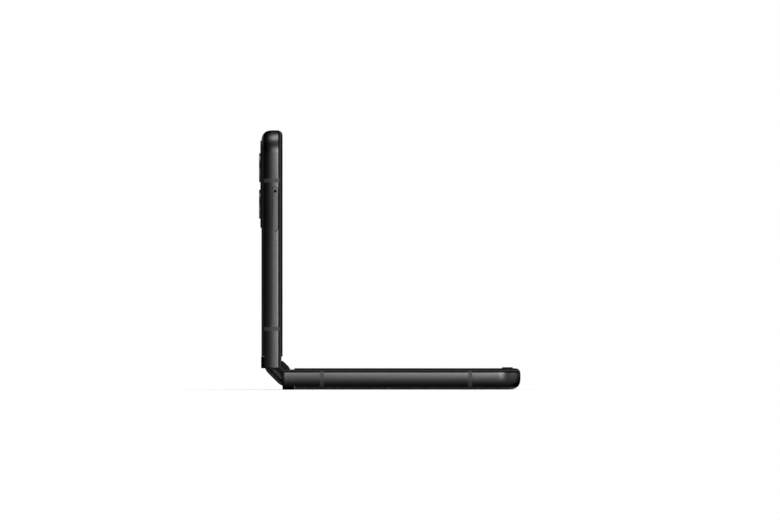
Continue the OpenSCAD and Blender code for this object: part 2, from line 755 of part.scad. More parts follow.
// Both sides of a folded strip: flat to the tangent point, then round the arc in short steps.
fold_steps = 18;
function fold_point(radius, angle) = [0, fold_centre_t] + spot(radius, angle);
function fold_end(radius, side) = let (run = fold_flat - face_gap - fold_tangent_u)
    fold_point(radius, side * half_turn - 90) + run * side * spot(1, side * half_turn);
function fold_side(radius) = concat(
    [fold_end(radius, -1)],
    [for (k = [0:fold_steps]) fold_point(radius, -90 - half_turn + 2 * half_turn * k / fold_steps)],
    [fold_end(radius, 1)]
);
module fold_strip(radius, thickness)
    polygon(concat(fold_side(radius + thickness / 2), reversed(fold_side(radius - thickness / 2))));
module display_fold() color([0.03, 0.03, 0.04]) in_spine()
    across(screen_inset - half_side, half_side - screen_inset)
    fold_strip(fold_radius, screen_thickness);
module flex_fold() color([0.55, 0.35, 0.1]) in_spine() both_sides()
    across(flex_centre - flex_width / 2, flex_centre + flex_width / 2)
    fold_strip(flex_fold_radius, flex_thickness);

// Flex cables, batteries and boards
module flex_run(drop_u, board_top) {
    t = flex_thickness;
    top = flex_mid + t / 2;
    both_sides() across(flex_centre - flex_width / 2, flex_centre + flex_width / 2) polygon([
        [fold_flat, top],
        [battery_start - 3, top],
        [battery_start, flex_run_top],
        [drop_u + t, flex_run_top],
        [drop_u + t, board_top + t],
        [drop_u + 4, board_top + t],
        [drop_u + 4, board_top],
        [drop_u, board_top],
        [drop_u, flex_run_top - t],
        [battery_start, flex_run_top - t],
        [battery_start - 3, top - t],
        [fold_flat, top - t]
    ]);
}
module lower_flex() color([0.55, 0.35, 0.1]) in_lower() flex_run(lower_board_start - 0.4, lower_board_top);
module upper_flex() color([0.55, 0.35, 0.1]) in_upper() flex_run(upper_board_start - 0.4, upper_board_top);

module battery(length) {
    side = compartment_side - battery_gap;
    translate([battery_start, -side, battery_low]) cube([length, 2 * side, battery_top - battery_low]);
}
module lower_battery() color([0.16, 0.16, 0.18]) in_lower() battery(lower_battery_length);
module upper_battery() color([0.16, 0.16, 0.18]) in_upper() battery(upper_battery_length);

coil_u = battery_start + lower_battery_length / 2;
coil_turns = 6;
coil_groove = 0.3;
module coil_shield() color([0.25, 0.24, 0.24]) in_lower()
    translate([coil_u, 0, (coil_top + shield_top) / 2])
    cube([2 * coil_radius + 2, 2 * coil_radius + 2, shield_thickness], center = true);
module wireless_coil() color([0.72, 0.45, 0.2]) in_lower() translate([coil_u, 0, 0]) difference() {
    upright(coil_low, coil_top) circle(coil_radius);
    upright(coil_low - over, coil_top + over) circle(coil_bore);
    for (k = [1:coil_turns - 1]) {
        r = coil_bore + (coil_radius - coil_bore) * k / coil_turns;
        upright(coil_low - over, coil_low + coil_thickness / 2) difference() {
            circle(r + coil_groove / 2);
            circle(r - coil_groove / 2);
        }
    }
}

module board_plan(from, to_v) {
    intersection() {
        plan(flange_width + edge_gap, from);
        translate([from, -board_side]) square([half_length, board_side + to_v]);
    }
}
module lower_board() color([0.05, 0.2, 0.12]) in_lower() difference() {
    upright(lower_board_low, lower_board_top) board_plan(lower_board_start, board_side);
    along(port_mouth - port_depth - edge_gap, half_length)
        square([port_width + 2 * (port_wall + edge_gap), 4 * half_thickness], center = true);
    for (place = lower_posts)
        screw_hole(place[0], place[1], lower_board_low - over, half_thickness);
}
main_board_side = camera_v - module_size / 2 - 4.4;
module main_board() color([0.05, 0.2, 0.12]) in_upper() difference() {
    upright(upper_board_low, upper_board_top) board_plan(upper_board_start, main_board_side);
    for (place = upper_post_places)
        screw_hole(place[0], place[1], upper_board_low - over, half_thickness);
}
can_height = 1.3;
can_wall = 0.2;
module can(u, v, length, width) translate([u, v, upper_board_low - can_height]) difference() {
    cube([length, width, can_height]);
    translate([can_wall, can_wall, can_wall]) cube([length - 2 * can_wall, width - 2 * can_wall, can_height]);
}
can_gap = 2;
module shield_cans() color([0.6, 0.6, 0.62]) in_upper() {
    start = upper_post_us[1] + 2 * post_radius;
    row = (upper_post_us[0] - post_radius - start - can_gap) / 2;
    edge = 1.5 - board_side;
    width = (main_board_side - 1.5 - edge - can_gap) / 2;
    can(start, edge, row, width);
    can(start, edge + width + can_gap, row, width);
    can(start + row + can_gap, edge + width / 2 + can_gap, row, width);
}

port_back = 0.4;
tongue_set_back = 0.9;
module usb_port() color([0.55, 0.55, 0.57]) in_lower() translate([port_mouth, 0, port_w])
    rotate([90, 0, -90]) difference() {
        linear_extrude(port_depth) stadium(port_width + 2 * port_wall, port_outer_height);
        translate([0, 0, -over])
            linear_extrude(port_depth + over - port_back) stadium(port_width, port_height);
    }
module usb_tongue() color([0.08, 0.08, 0.08]) in_lower()
    translate([port_mouth - port_depth + port_back, -tongue_width / 2, port_w - tongue_height / 2])
    cube([port_depth - port_back - tongue_set_back, tongue_width, tongue_height]);

module loudspeaker() color([0.1, 0.1, 0.1]) in_lower() difference() {
    along(lower_board_start + 1, board_end) translate([speaker_low, lower_board_top])
        square([speaker_high - speaker_low, midplate_low - 0.3 - lower_board_top]);
    translate([board_end, speaker_mid, port_w])
        cube([3, (len(speaker_holes) + 0.7) * speaker_pitch, 1.6], center = true);
}

motor_size = [9, 16, midplate_low - 0.6 - lower_board_top];
motor_wall = 0.3;
motor_place = [lower_board_start + 1.5, post_v + post_radius + 2, lower_board_top];
module vibration_motor() color([0.5, 0.5, 0.52]) in_lower() translate(motor_place) difference() {
    cube(motor_size);
    translate(motor_wall * [1, 1, 1]) cube(motor_size - 2 * motor_wall * [1, 1, 1]);
}
mass_travel = 0.4;
mass_play = 0.1;
mass_inset = [motor_wall + mass_play, motor_wall + mass_play + mass_travel, motor_wall + mass_play];
module vibration_mass() color([0.4, 0.4, 0.42]) in_lower()
    translate(motor_place + mass_inset) cube(motor_size - 2 * mass_inset);

module magnets() {
    both_sides()
        translate([half_length - magnet_from_end, magnet_v, midplate_low - fit_gap - magnet_size[2] / 2])
        cube(magnet_size, center = true);
}
module lower_magnets() color([0.7, 0.7, 0.72]) in_lower() magnets();
module upper_magnets() color([0.7, 0.7, 0.72]) in_upper() magnets();

module wing_screws() {
    tip = wing_floor - wing_hole_depth + 2 * fit_gap;
    both_sides()
        for (v = wing_screw_vs)
            translate([wing_screw_u, v, 0]) screw(wing_top - head_height, tip, false);
}
module board_screws(places, low) {
    for (place = places)
        translate([place[0], place[1], 0]) screw(low, midplate_low - 0.6, true);
}
module lower_screws() color([0.7, 0.7, 0.72]) in_lower() {
    wing_screws();
    board_screws(lower_posts, lower_board_low);
}
module upper_screws() color([0.7, 0.7, 0.72]) in_upper() {
    wing_screws();
    board_screws(upper_post_places, upper_board_low);
}

// Parts of the upper half
module front_camera() color([0.08, 0.08, 0.1]) in_upper() translate([front_camera_u, 0, 0]) {
    upright(upper_board_top + 2 * fit_gap, frame_top - face_gap) circle(camera_stem);
    upright(frame_top - 2 * face_gap, -screen_drop - 2 * fit_gap) circle(camera_window - 2 * fit_gap);
}
earpiece_size = [4.2, 11];
module earpiece() color([0.1, 0.1, 0.1]) in_upper()
    translate([half_length - wall - 0.6 - earpiece_size[0], camera_stem + 2.4, upper_board_top + face_gap])
    cube([earpiece_size[0], earpiece_size[1], upper_board_depth - 2 * fit_gap]);

carrier_play = 0.2;
tray_inner = compartment_side - 2 * fit_gap;
reader_wall = 0.2;
reader_side = carrier_length / 2 + carrier_play + reader_wall;
reader_length = tray_reach + 1.9;
reader_height = upper_board_depth - fit_gap;
module tray_reader() color([0.6, 0.6, 0.62]) in_upper() translate([carrier_u, -tray_inner, upper_board_top])
    difference() {
        across(0.4, reader_length) translate([-reader_side, 0])
            square([2 * reader_side, reader_height]);
        across(-over, reader_length - reader_wall) translate([reader_wall - reader_side, -over])
            square([2 * (reader_side - reader_wall), over + reader_height - reader_wall]);
    }
eject_from_tray_end = 1.65;
card_pocket = [8.8, 12.3];
card_depth = 0.67;
card_rim = 2;
tray_end = tray_reach - tray_inner - 0.2;
module sim_tray() color([0.12, 0.12, 0.125]) in_upper() difference() {
    union() {
        translate([tray_u, -half_side, -side_depth]) rotate([-90, 0, 0])
            linear_extrude(wall + 2 * fit_gap) stadium(tray_length, tray_height);
        translate([carrier_u - carrier_length / 2, tray_end - tray_reach, -side_depth - tray_plate / 2])
            cube([carrier_length, tray_reach, tray_plate]);
    }
    translate([tray_u + tray_length / 2 - eject_from_tray_end, -half_side - over, -side_depth])
        rotate([-90, 0, 0]) cylinder(r = eject_radius, h = wall + 3 * over);
    translate([carrier_u - card_pocket[0] / 2, tray_end - card_rim - card_pocket[1], -side_depth
        + tray_plate / 2 - card_depth])
        cube([card_pocket[0], card_pocket[1], card_depth + over]);
}

flange_back = 0.45;
key_back = compartment_side - fit_gap - flange_back;
switch_top = key_back - key_travel - face_gap;
flange_height = 1.6;
ear_length = 1.6;
ear_height = 1.2;
module key(u, length, proud, ear) {
    translate([u, key_back + flange_back / 2, -side_depth]) rotate([-90, 0, 0])
        linear_extrude(half_side + proud - key_back - flange_back / 2) stadium(length, key_height);
    translate([u, key_back, -side_depth]) rotate([-90, 0, 0])
        linear_extrude(flange_back) square([length - 1, flange_height], center = true);
    for (end = [-1, 1])
        translate([u + end * (length / 2 - 0.3), key_back + ear / 2, -side_depth])
        cube([ear_length, ear, ear_height], center = true);
}
module power_key() color([0.12, 0.12, 0.125]) in_upper()
    key(power_u, power_length, key_proud - 0.1, flange_back);
// The volume key rocks on a round rib that rests on its bracket
module volume_key() color([0.12, 0.12, 0.125]) in_upper() {
    key(volume_u, volume_length, key_proud, flange_back - key_travel);
    translate([volume_u, key_back, -side_depth])
        cylinder(r = key_travel + dome_height, h = flange_height, center = true);
}
bracket_thickness = 0.5;
bracket_height = 2.6;
dome_height = 0.4;
dome_radius = 0.7;
module switch_bracket(u, length, domes) {
    back = switch_top - dome_height;
    across(back - bracket_thickness, back) translate([u, midplate_low - fit_gap - bracket_height / 2])
        square([length, bracket_height], center = true);
    for (place = domes)
        translate([u + place, switch_top, -side_depth]) rotate([90, 0, 0])
            cylinder(r = dome_radius, h = dome_height + face_gap);
}
module key_switches() color([0.65, 0.6, 0.4]) in_upper() {
    switch_bracket(power_u, power_length - 1, [0]);
    switch_bracket(volume_u, volume_length - 1, [-volume_length / 3, volume_length / 3]);
}

// Hinge wings: plate, curved guide and slotted link
module wing(link_near, link_far) {
    difference() {
        translate([fold_flat, link_near, wing_low])
            cube([wing_end - fold_flat, guide_near + guide_width - link_near, wing_thickness]);
        for (v = wing_screw_vs) {
            screw_hole(wing_screw_u, v, -long_cut, long_cut);
            translate([wing_screw_u, v, wing_top - head_height])
                cylinder(r = screw_head + screw_play, h = long_cut);
        }
    }
    translate([axis_u, 0, axis_w])
        across(guide_near, guide_near + guide_width)
        ring_sector(guide_inner, guide_outer, -guide_reach, -guide_start);
    translate([axis_u, 0, axis_w]) across(link_near, link_far) difference() {
        intersection() {
            circle(link_radius);
            translate([-2 * link_radius, wing_top - axis_w - 4 * link_radius]) square(4 * link_radius);
        }
        translate(crank_throw * [cos(crank_angle), sin(crank_angle)]) {
            slot = pin_radius + running_play;
            first = track_angle + 1;
            last = track_angle - closing_turn - 1;
            ring_sector(link_track - slot, link_track + slot, last, first);
            for (a = [first, last])
                translate(link_track * [cos(a), sin(a)]) circle(slot);
        }
    }
}
module lower_wings() color([0.6, 0.6, 0.63]) in_lower() both_sides() wing(lower_link_near, lower_link_far);
module upper_wings() color([0.6, 0.6, 0.63]) in_upper() both_sides() wing(upper_link_near, upper_link_far);

// Gears: involute teeth with a little backlash
pressure_angle = 25;
backlash = 0.05;
base_radius = pitch_radius * cos(pressure_angle);
function involute(a) = tan(a) * 180 / PI - a;
half_tooth = (PI * gear_module / 2 - backlash) / (2 * pitch_radius) * 180 / PI + involute(pressure_angle);
flank_steps = 3;
function flank(r) = half_tooth - (r > base_radius ? involute(acos(base_radius / r)) : 0);
function flank_radius(k) = base_radius + (tip_radius - base_radius) * k / flank_steps;
module gear_outline(phase) {
    polygon([
        for (tooth = [0:gear_teeth - 1])
            let (mid = phase + tooth * 360 / gear_teeth)
            each concat(
                [spot(root_radius, mid - half_tooth)],
                [for (k = [0:flank_steps]) spot(flank_radius(k), mid - flank(flank_radius(k)))],
                [for (k = [flank_steps:-1:0]) spot(flank_radius(k), mid + flank(flank_radius(k)))],
                [spot(root_radius, mid + half_tooth)]
            )
    ]);
}
function meshed(phase, line) = 2 * line + 180 + 180 / gear_teeth - phase;
lower_idler_phase = 180;
upper_idler_phase = meshed(lower_idler_phase, 180);
crank_line = atan2(gear_rise, crank_s - idler_s);
lower_crank_phase = meshed(lower_idler_phase, crank_line);
upper_crank_phase = meshed(upper_idler_phase, 180 - crank_line);

module crank(s, phase, throw_angle, pin_far) {
    translate([s, 0, crank_t]) {
        across(gear_near, gear_far) gear_outline(phase);
        across(tail_near, gear_near + tiny) circle(shaft_radius);
        across(collar_near, collar_far) circle(spring_radius - 2 * fit_gap);
        translate([crank_throw * cos(throw_angle), 0, crank_throw * sin(throw_angle)])
            across(gear_far - tiny, pin_far) circle(pin_radius);
    }
}
module lower_cranks() color([0.75, 0.7, 0.5]) in_spine() both_sides()
    crank(crank_s, lower_crank_phase, crank_angle + half_turn, lower_link_far - 2 * fit_gap);
module upper_cranks() color([0.75, 0.7, 0.5]) in_spine() both_sides()
    crank(-crank_s, upper_crank_phase, 180 - crank_angle - half_turn, upper_link_far - 2 * fit_gap);
module idler(s, phase) {
    translate([s, 0, idler_t]) {
        across(gear_near, gear_far) gear_outline(phase);
        across(frame_plate_near + 2 * fit_gap, gear_near + tiny) circle(shaft_radius);
    }
}
module lower_idlers() color([0.75, 0.7, 0.5]) in_spine() both_sides() idler(idler_s, lower_idler_phase);
module upper_idlers() color([0.75, 0.7, 0.5]) in_spine() both_sides() idler(-idler_s, upper_idler_phase);

// Hinge spine
cover_flange_thickness = 0.8;
cover_hole_depth = 0.4;
module hinge_cover() color([0.13, 0.13, 0.135]) in_spine() difference() {
    union() {
        across(-spine_side, spine_side) difference() {
            spine_outline(cover_outer, axis_w - cover_edge_drop);
            spine_outline(cover_inner, long_cut);
        }
        both_sides() across(spine_side - cover_flange_thickness, spine_side) difference() {
            spine_outline(cover_inner + 2 * fit_gap, axis_w - cover_edge_drop);
            spine_outline(cover_inner - cover_flange, long_cut);
        }
    }
    both_sides()
        for (v = spine_screw_vs)
            screw_hole(0, v, floor_t - cover_hole_depth, cover_hole_depth + over);
}

foot_side = axis_half_gap;
foot_height = 0.9;
rail_height = 0.7;
spine_screw_vs = [block_outer + foot_width / 2 + 2 * fit_gap, (spring_near + spring_far) / 2];
module guide_blocks() color([0.4, 0.4, 0.42]) in_spine() both_sides() difference() {
    union() {
        across(block_inner, block_outer) difference() {
            spine_outline(block_radius, block_top);
            translate([-fold_side_gap, -fold_dip]) square(2 * fold_side_gap * [1, 1]);
            for (side = [0, 1])
                mirror([side, 0]) translate([axis_half_gap, axis_w])
                    ring_sector(guide_inner - guide_play, guide_outer + guide_play, -guide_reach - 1.5, 30);
        }
        translate([-foot_side, block_outer - tiny, block_floor])
            cube([2 * foot_side, foot_width, foot_height]);
    }
    screw_hole(0, spine_screw_vs[0], floor_t - over, long_cut);
}

module gear_frames() color([0.4, 0.4, 0.42]) in_spine() both_sides() difference() {
    union() {
        across(frame_plate_near, frame_plate_far) spine_outline(block_radius, plate_top);
        across(tail_near, tail_far) spine_outline(block_radius, plate_top);
        translate([-foot_side, tail_near, block_floor])
            cube([2 * foot_side, frame_plate_far - tail_near, rail_height]);
    }
    for (side = [-1, 1]) {
        translate([side * crank_s, 0, crank_t]) across(tail_near - 1, frame_plate_far + 1)
            circle(shaft_radius + running_play);
        translate([side * idler_s, 0, idler_t]) across(frame_plate_near - 1, frame_plate_far + 1)
            circle(shaft_radius + running_play);
    }
    screw_hole(0, spine_screw_vs[1], floor_t - over, long_cut);
}

cam_radius = 1;
module cam_blocks() color([0.7, 0.66, 0.5]) in_spine() both_sides() across(cam_near, cam_far) difference() {
    union() {
        translate([0, crank_t]) square([2 * crank_s, 2 * cam_radius], center = true);
        for (side = [-1, 1])
            translate([side * crank_s, crank_t]) circle(cam_radius);
    }
    for (side = [-1, 1])
        translate([side * crank_s, crank_t]) circle(shaft_radius + running_play);
}

spring_turns = 7;
wire_radius = 0.2;
module hinge_springs() color([0.7, 0.7, 0.72]) in_spine() both_sides()
    for (side = [-1, 1])
        translate([side * crank_s, spring_near, crank_t]) rotate([-90, 0, 0]) rotate_extrude() {
            translate([spring_radius - 1.5 * wire_radius, 0]) square([wire_radius, spring_length]);
            for (k = [0:spring_turns - 1])
                translate([spring_radius - 2 * wire_radius, (k + 0.25) * spring_length / spring_turns])
                square([2 * wire_radius, spring_length / spring_turns / 2]);
        }

cap_head = 2;
cap_tail = [3, 0.5, 1.4];
cap_rise = 0.06;
cap_crown = 0.13;
cap_border = 0.7;
cap_step = 1;
cap_step_depth = 0.3;
cap_radius = cover_inner - cover_flange - cap_border;
screw_sink = 0.35;
module hinge_end_caps() color([0.04, 0.04, 0.045]) in_spine() both_sides() {
    difference() {
        across(cap_near, cap_far) union() {
            spine_outline(cap_radius, block_top);
            polygon([[-cap_head, -fold_dip], [cap_head, -fold_dip], [cap_head, cap_rise],
                [cap_head / 2, cap_rise + cap_crown * 0.75], [0, cap_rise + cap_crown],
                [-cap_head / 2, cap_rise + cap_crown * 0.75], [-cap_head, cap_rise]]);
        }
        across(cap_far - cap_step_depth, cap_far + over) spine_outline(cap_radius - cap_step, block_top - 0.6);
    }
    translate([-cap_tail[0] / 2, cap_near, floor_t + fit_gap]) cube(cap_tail);
}

module hinge_screws() color([0.7, 0.7, 0.72]) in_spine() both_sides() {
    translate([0, spine_screw_vs[0], 0]) screw(block_floor + foot_height, floor_t - screw_sink, false);
    translate([0, spine_screw_vs[1], 0]) screw(block_floor + rail_height, floor_t - screw_sink, false);
}

lower_frame();
lower_antenna_bands();
lower_bezel();
lower_bumpers();
lower_back_cover();
lower_display();
lower_display_plate();
lower_battery();
lower_board();
usb_port();
usb_tongue();
loudspeaker();
vibration_motor();
vibration_mass();
wireless_coil();
coil_shield();
lower_magnets();
lower_screws();
lower_wings();
lower_flex();
upper_frame();
upper_antenna_bands();
upper_bezel();
upper_back_cover();
cover_panel();
cover_display();
camera_rings();
camera_lenses();
camera_modules();
focus_barrel();
flash_lens();
upper_display();
upper_display_plate();
upper_battery();
main_board();
shield_cans();
front_camera();
earpiece();
tray_reader();
key_switches();
upper_magnets();
upper_screws();
upper_wings();
upper_flex();
sim_tray();
power_key();
volume_key();
lower_cranks();
upper_cranks();
lower_idlers();
upper_idlers();
hinge_cover();
guide_blocks();
gear_frames();
cam_blocks();
hinge_springs();
hinge_end_caps();
hinge_screws();
display_fold();
flex_fold();
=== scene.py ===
"""Looks of the foldable smartphone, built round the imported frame.

Sizes are in millimetres unless a line says so.
"""

import json
import math

import bmesh
import bpy
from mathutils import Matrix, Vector


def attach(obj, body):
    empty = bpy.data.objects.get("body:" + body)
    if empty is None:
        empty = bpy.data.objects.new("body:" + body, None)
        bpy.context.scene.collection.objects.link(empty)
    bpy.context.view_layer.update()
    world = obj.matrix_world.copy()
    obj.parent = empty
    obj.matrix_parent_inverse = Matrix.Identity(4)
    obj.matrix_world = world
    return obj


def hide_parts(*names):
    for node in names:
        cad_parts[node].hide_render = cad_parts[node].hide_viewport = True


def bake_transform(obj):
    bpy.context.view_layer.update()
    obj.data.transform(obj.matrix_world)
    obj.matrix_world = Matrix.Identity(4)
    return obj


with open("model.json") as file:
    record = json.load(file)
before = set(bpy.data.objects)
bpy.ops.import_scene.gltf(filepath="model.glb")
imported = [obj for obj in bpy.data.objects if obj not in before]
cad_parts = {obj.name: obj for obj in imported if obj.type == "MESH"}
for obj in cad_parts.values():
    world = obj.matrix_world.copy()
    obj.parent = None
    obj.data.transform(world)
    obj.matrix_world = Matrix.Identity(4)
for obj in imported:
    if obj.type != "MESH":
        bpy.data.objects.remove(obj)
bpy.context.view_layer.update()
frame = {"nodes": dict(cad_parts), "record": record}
nodes = frame["nodes"]

# Where the halves and the hinge spine stand. Each half has its own u (length), v (width) and w (height),
# as if it lay flat, and the spine has s, v and t.
MM = 0.001
DIAGONAL = math.sqrt(0.5)
REST_X, REST_Z, CORNER = -37.3406, 7.5, 0.0387
AXIS_U, AXIS_W, AXIS_GAP = 2.05, -1.1, 2.2
HALF_LENGTH, HALF_SIDE, CORNER_RADIUS = 83.0, 36.0, 8.0
SCREEN_TOP, SCREEN_THICKNESS, SCREEN_SIDE = -0.45, 0.3, 33.0
FACE_GAP = 0.02
# The fold of the screen and of the flex cables: a bend of HALF_BEND degrees for each half, and a flat run.
HALF_BEND, FOLD_CENTRE_T, FOLD_TANGENT_U, FOLD_FLAT = 45, 0.117351, 1.35516, 2.6
FOLD_RADIUS, FLEX_RADIUS = 1.91643, 2.54143
FLEX_THICKNESS, FLEX_WIDTH, FLEX_CENTRE = 0.15, 6.0, 5.0
# Width of the fold's mesh columns, and the angle in degrees above which its edges are sharp.
FOLD_COLUMN, FOLD_SHARP = 3, 50
# The back of the upper half.
CAMERA_US, CAMERA_V = (70.4, 57.6), 24.5
FLASH_U, FLASH_V, FLASH_RADIUS = 64.0, 16.2, 1.6
PANEL_TOP, RING_TOP, LENS_RADIUS, LENS_SINK = -7.78, -8.28, 3.9, 0.15
WINDOW_CENTRE, WINDOW_HALF_LENGTH, WINDOW_HALF_WIDTH = (64.4, -8.2), 10.8, 21.4
PORT_W = -3.9
# Heights at which painted light or shade changes on a half: painted shade on the rim's chamfer and on the
# raised rim, painted light on the back glass's edge.
RIM_CHAMFER_SHADE, RIM_TOP_SHADE, BACK_EDGE_LIGHT = (-1.62, -1.48), (-0.6, -0.5), (-6.95, -6.85)
ZONE_FADE = 0.08
# Angles in degrees above which an edge is sharp, or is rounded.
SHARP_CAD_EDGE, ROUNDED_CAD_EDGE, SHARP_EDGE = 32, 40, 35
NORMAL_WEIGHT = 80
# Turned forms start and end at this radius, beside their axis.
AT_AXIS = 0.001


def lower(u, v, w):
    return Vector(((REST_X - CORNER + u) * MM, v * MM, (REST_Z + w) * MM))


def upper(u, v, w):
    return Vector(((REST_X + w) * MM, v * MM, (REST_Z + u - CORNER) * MM))


def spine(s, v, t):
    ds, dt = s - AXIS_GAP, t - AXIS_W
    return lower(AXIS_U + DIAGONAL * (ds + dt), v, AXIS_W + DIAGONAL * (dt - ds))


def turn(k, steps):
    """The angle of a step round a full turn."""
    return 2 * math.pi * k / steps


# Materials


def new_material(name, values):
    """A material, its node tree and its shader with these inputs set."""
    m = bpy.data.materials.new(name)
    m.use_nodes = True
    t = m.node_tree
    p = t.nodes["Principled BSDF"]
    for key, value in values.items():
        p.inputs[key].default_value = value
    return m, t, p


def feed(t, socket, value):
    """Gives an input a constant or another node's output."""
    if isinstance(value, bpy.types.NodeSocket):
        t.links.new(value, socket)
    else:
        socket.default_value = value


def calc(t, operation, a, b=0.0, clamp=False):
    n = t.nodes.new("ShaderNodeMath")
    n.operation = operation
    n.use_clamp = clamp
    feed(t, n.inputs[0], a)
    feed(t, n.inputs[1], b)
    return n.outputs[0]


def measure(t, operation, vector, other=(0, 0, 0)):
    """The length of a vector, or its dot product with another."""
    n = t.nodes.new("ShaderNodeVectorMath")
    n.operation = operation
    n.inputs[1].default_value = other
    t.links.new(vector, n.inputs[0])
    return n.outputs["Value"]


def object_place(t):
    """Object coordinates, in metres."""
    return t.nodes.new("ShaderNodeTexCoord").outputs["Object"]


def coordinates(t, scale, stretch=(1, 1, 1)):
    """Object coordinates scaled to features per metre."""
    mapping = t.nodes.new("ShaderNodeMapping")
    mapping.inputs["Scale"].default_value = [scale * s for s in stretch]
    t.links.new(object_place(t), mapping.inputs["Vector"])
    return mapping.outputs["Vector"]


def noise(t, scale, detail=3.0, stretch=(1, 1, 1)):
    n = t.nodes.new("ShaderNodeTexNoise")
    n.inputs["Scale"].default_value = 1.0
    n.inputs["Detail"].default_value = detail
    t.links.new(coordinates(t, scale, stretch), n.inputs["Vector"])
    return n.outputs["Fac"]


def spread(t, value, low, high, start=0.3, stop=0.7):
    """Maps start..stop, which is a noise's middle range unless given, to low..high."""
    m = t.nodes.new("ShaderNodeMapRange")
    for key, limit in (("From Min", start), ("From Max", stop), ("To Min", low), ("To Max", high)):
        m.inputs[key].default_value = limit
    t.links.new(value, m.inputs["Value"])
    return m.outputs["Result"]


def mix_colors(t, factor, a, b):
    m = t.nodes.new("ShaderNodeMix")
    m.data_type = "RGBA"
    t.links.new(factor, m.inputs[0])
    for key, c in ((6, a), (7, b)):
        feed(t, m.inputs[key], (*c, 1) if isinstance(c, tuple) else c)
    return m.outputs[2]


def relief(t, p, height, strength, depth):
    """Lets a height show in a shader's normals."""
    n = t.nodes.new("ShaderNodeBump")
    n.inputs["Strength"].default_value = strength
    n.inputs["Distance"].default_value = depth * MM
    t.links.new(height, n.inputs["Height"])
    t.links.new(n.outputs["Normal"], p.inputs["Normal"])
    return n


def tinted(color, share):
    return tuple(min(1.0, c * share) for c in color)


def finish_material(
    name, color, rough, painted_zones=(), metal=0.0, specular=0.5, edge_tint=(1, 1, 1), grain=3000, stretch=(1, 1, 1),
    vary=0.12, bump=0.15, depth=0.01, patch=60, patch_rough=0.05, coat=0.0, coat_rough=0.03, edge=0.0,
):
    """A finish with a fine grain in its colour and relief, broad patches in its roughness and softened edges.

    Each zone is a band of painted light or shade: a direction, two places along it in metres and the share of
    the colour reached at the second.
    """
    m, t, p = new_material(name, {
        "Metallic": metal, "Specular IOR Level": specular, "Specular Tint": (*edge_tint, 1),
        "Coat Weight": coat, "Coat Roughness": coat_rough,
    })
    fine = noise(t, grain, 4.0, stretch)
    shade = mix_colors(t, spread(t, fine, 0, 1), tinted(color, 1 - vary), tinted(color, 1 + vary))
    # Painted light and shade, one band for each zone.
    for direction, start, stop, share in painted_zones:
        along = measure(t, "DOT_PRODUCT", object_place(t), direction)
        shade = mix_colors(t, spread(t, along, 0, 1, start, stop), shade, tinted(color, share))
    t.links.new(shade, p.inputs["Base Color"])
    broad = noise(t, patch, 5.0)
    t.links.new(spread(t, broad, rough - patch_rough, rough + patch_rough), p.inputs["Roughness"])
    grained = relief(t, p, fine, bump, depth)
    if edge:
        soft = t.nodes.new("ShaderNodeBevel")
        soft.samples = 4
        soft.inputs["Radius"].default_value = edge * MM
        t.links.new(soft.outputs["Normal"], grained.inputs["Normal"])
    return m


def panel_material(name):
    """Polished cover glass, with the window of the dark cover display as a bluer field in a black print."""
    m, t, p = new_material(name, {"Specular IOR Level": 0.4})
    split = t.nodes.new("ShaderNodeSeparateXYZ")
    t.links.new(object_place(t), split.inputs["Vector"])
    centre, fade, inside = upper(*WINDOW_CENTRE, 0), 0.1, 1.0
    for axis, middle, half in (("Z", centre.z, WINDOW_HALF_LENGTH), ("Y", centre.y, WINDOW_HALF_WIDTH)):
        away = calc(t, "ABSOLUTE", calc(t, "SUBTRACT", split.outputs[axis], middle))
        inside = calc(t, "MULTIPLY", spread(t, away, 1, 0, (half - fade) * MM, (half + fade) * MM), inside)
    black, bluer = (0.0022, 0.0022, 0.0024), (0.004, 0.0045, 0.006)
    t.links.new(mix_colors(t, inside, black, bluer), p.inputs["Base Color"])
    t.links.new(spread(t, noise(t, 55, 5.0), 0.03, 0.14), p.inputs["Roughness"])
    return m


def lined_material(name, color, dark, per_metre, axis, rough, metal):
    """Fine parallel lines across one axis, for traces and woven surfaces."""
    m, t, p = new_material(name, {"Metallic": metal})
    wave = t.nodes.new("ShaderNodeTexWave")
    wave.bands_direction = axis
    wave.inputs["Scale"].default_value = 1.0
    wave.inputs["Distortion"].default_value = 0.4
    t.links.new(coordinates(t, per_metre), wave.inputs["Vector"])
    lines = wave.outputs["Fac"]
    t.links.new(mix_colors(t, spread(t, lines, 0, 1, 0.35, 0.65), dark, color), p.inputs["Base Color"])
    t.links.new(spread(t, noise(t, 400), rough - 0.06, rough + 0.06), p.inputs["Roughness"])
    relief(t, p, lines, 0.3, 0.02)
    return m


def board_material(name):
    """Green solder mask over copper traces, with the traces showing as paler lines."""
    m, t, p = new_material(name, {})
    brick = t.nodes.new("ShaderNodeTexBrick")
    brick.inputs["Scale"].default_value = 1.0
    brick.inputs["Mortar Size"].default_value = 0.035
    brick.inputs["Color1"].default_value = (0.004, 0.03, 0.016, 1)
    brick.inputs["Color2"].default_value = (0.005, 0.038, 0.02, 1)
    brick.inputs["Mortar"].default_value = (0.02, 0.1, 0.05, 1)
    t.links.new(coordinates(t, 700), brick.inputs["Vector"])
    t.links.new(brick.outputs["Color"], p.inputs["Base Color"])
    t.links.new(spread(t, noise(t, 900), 0.3, 0.42), p.inputs["Roughness"])
    return m


def glass_material(name, color):
    """Clear glass whose coating takes most of its reflection away."""
    m, t, p = new_material(name, {"Transmission Weight": 1.0, "IOR": 1.18, "Roughness": 0.0})
    t.links.new(mix_colors(t, noise(t, 120), color, tinted(color, 0.94)), p.inputs["Base Color"])
    return m


def heights(half, start, stop, share):
    """A zone between two heights of a half."""
    direction, rest = ((0, 0, 1), REST_Z) if half == "lower" else ((1, 0, 0), REST_X)
    return direction, (rest + start) * MM, (rest + stop) * MM, share


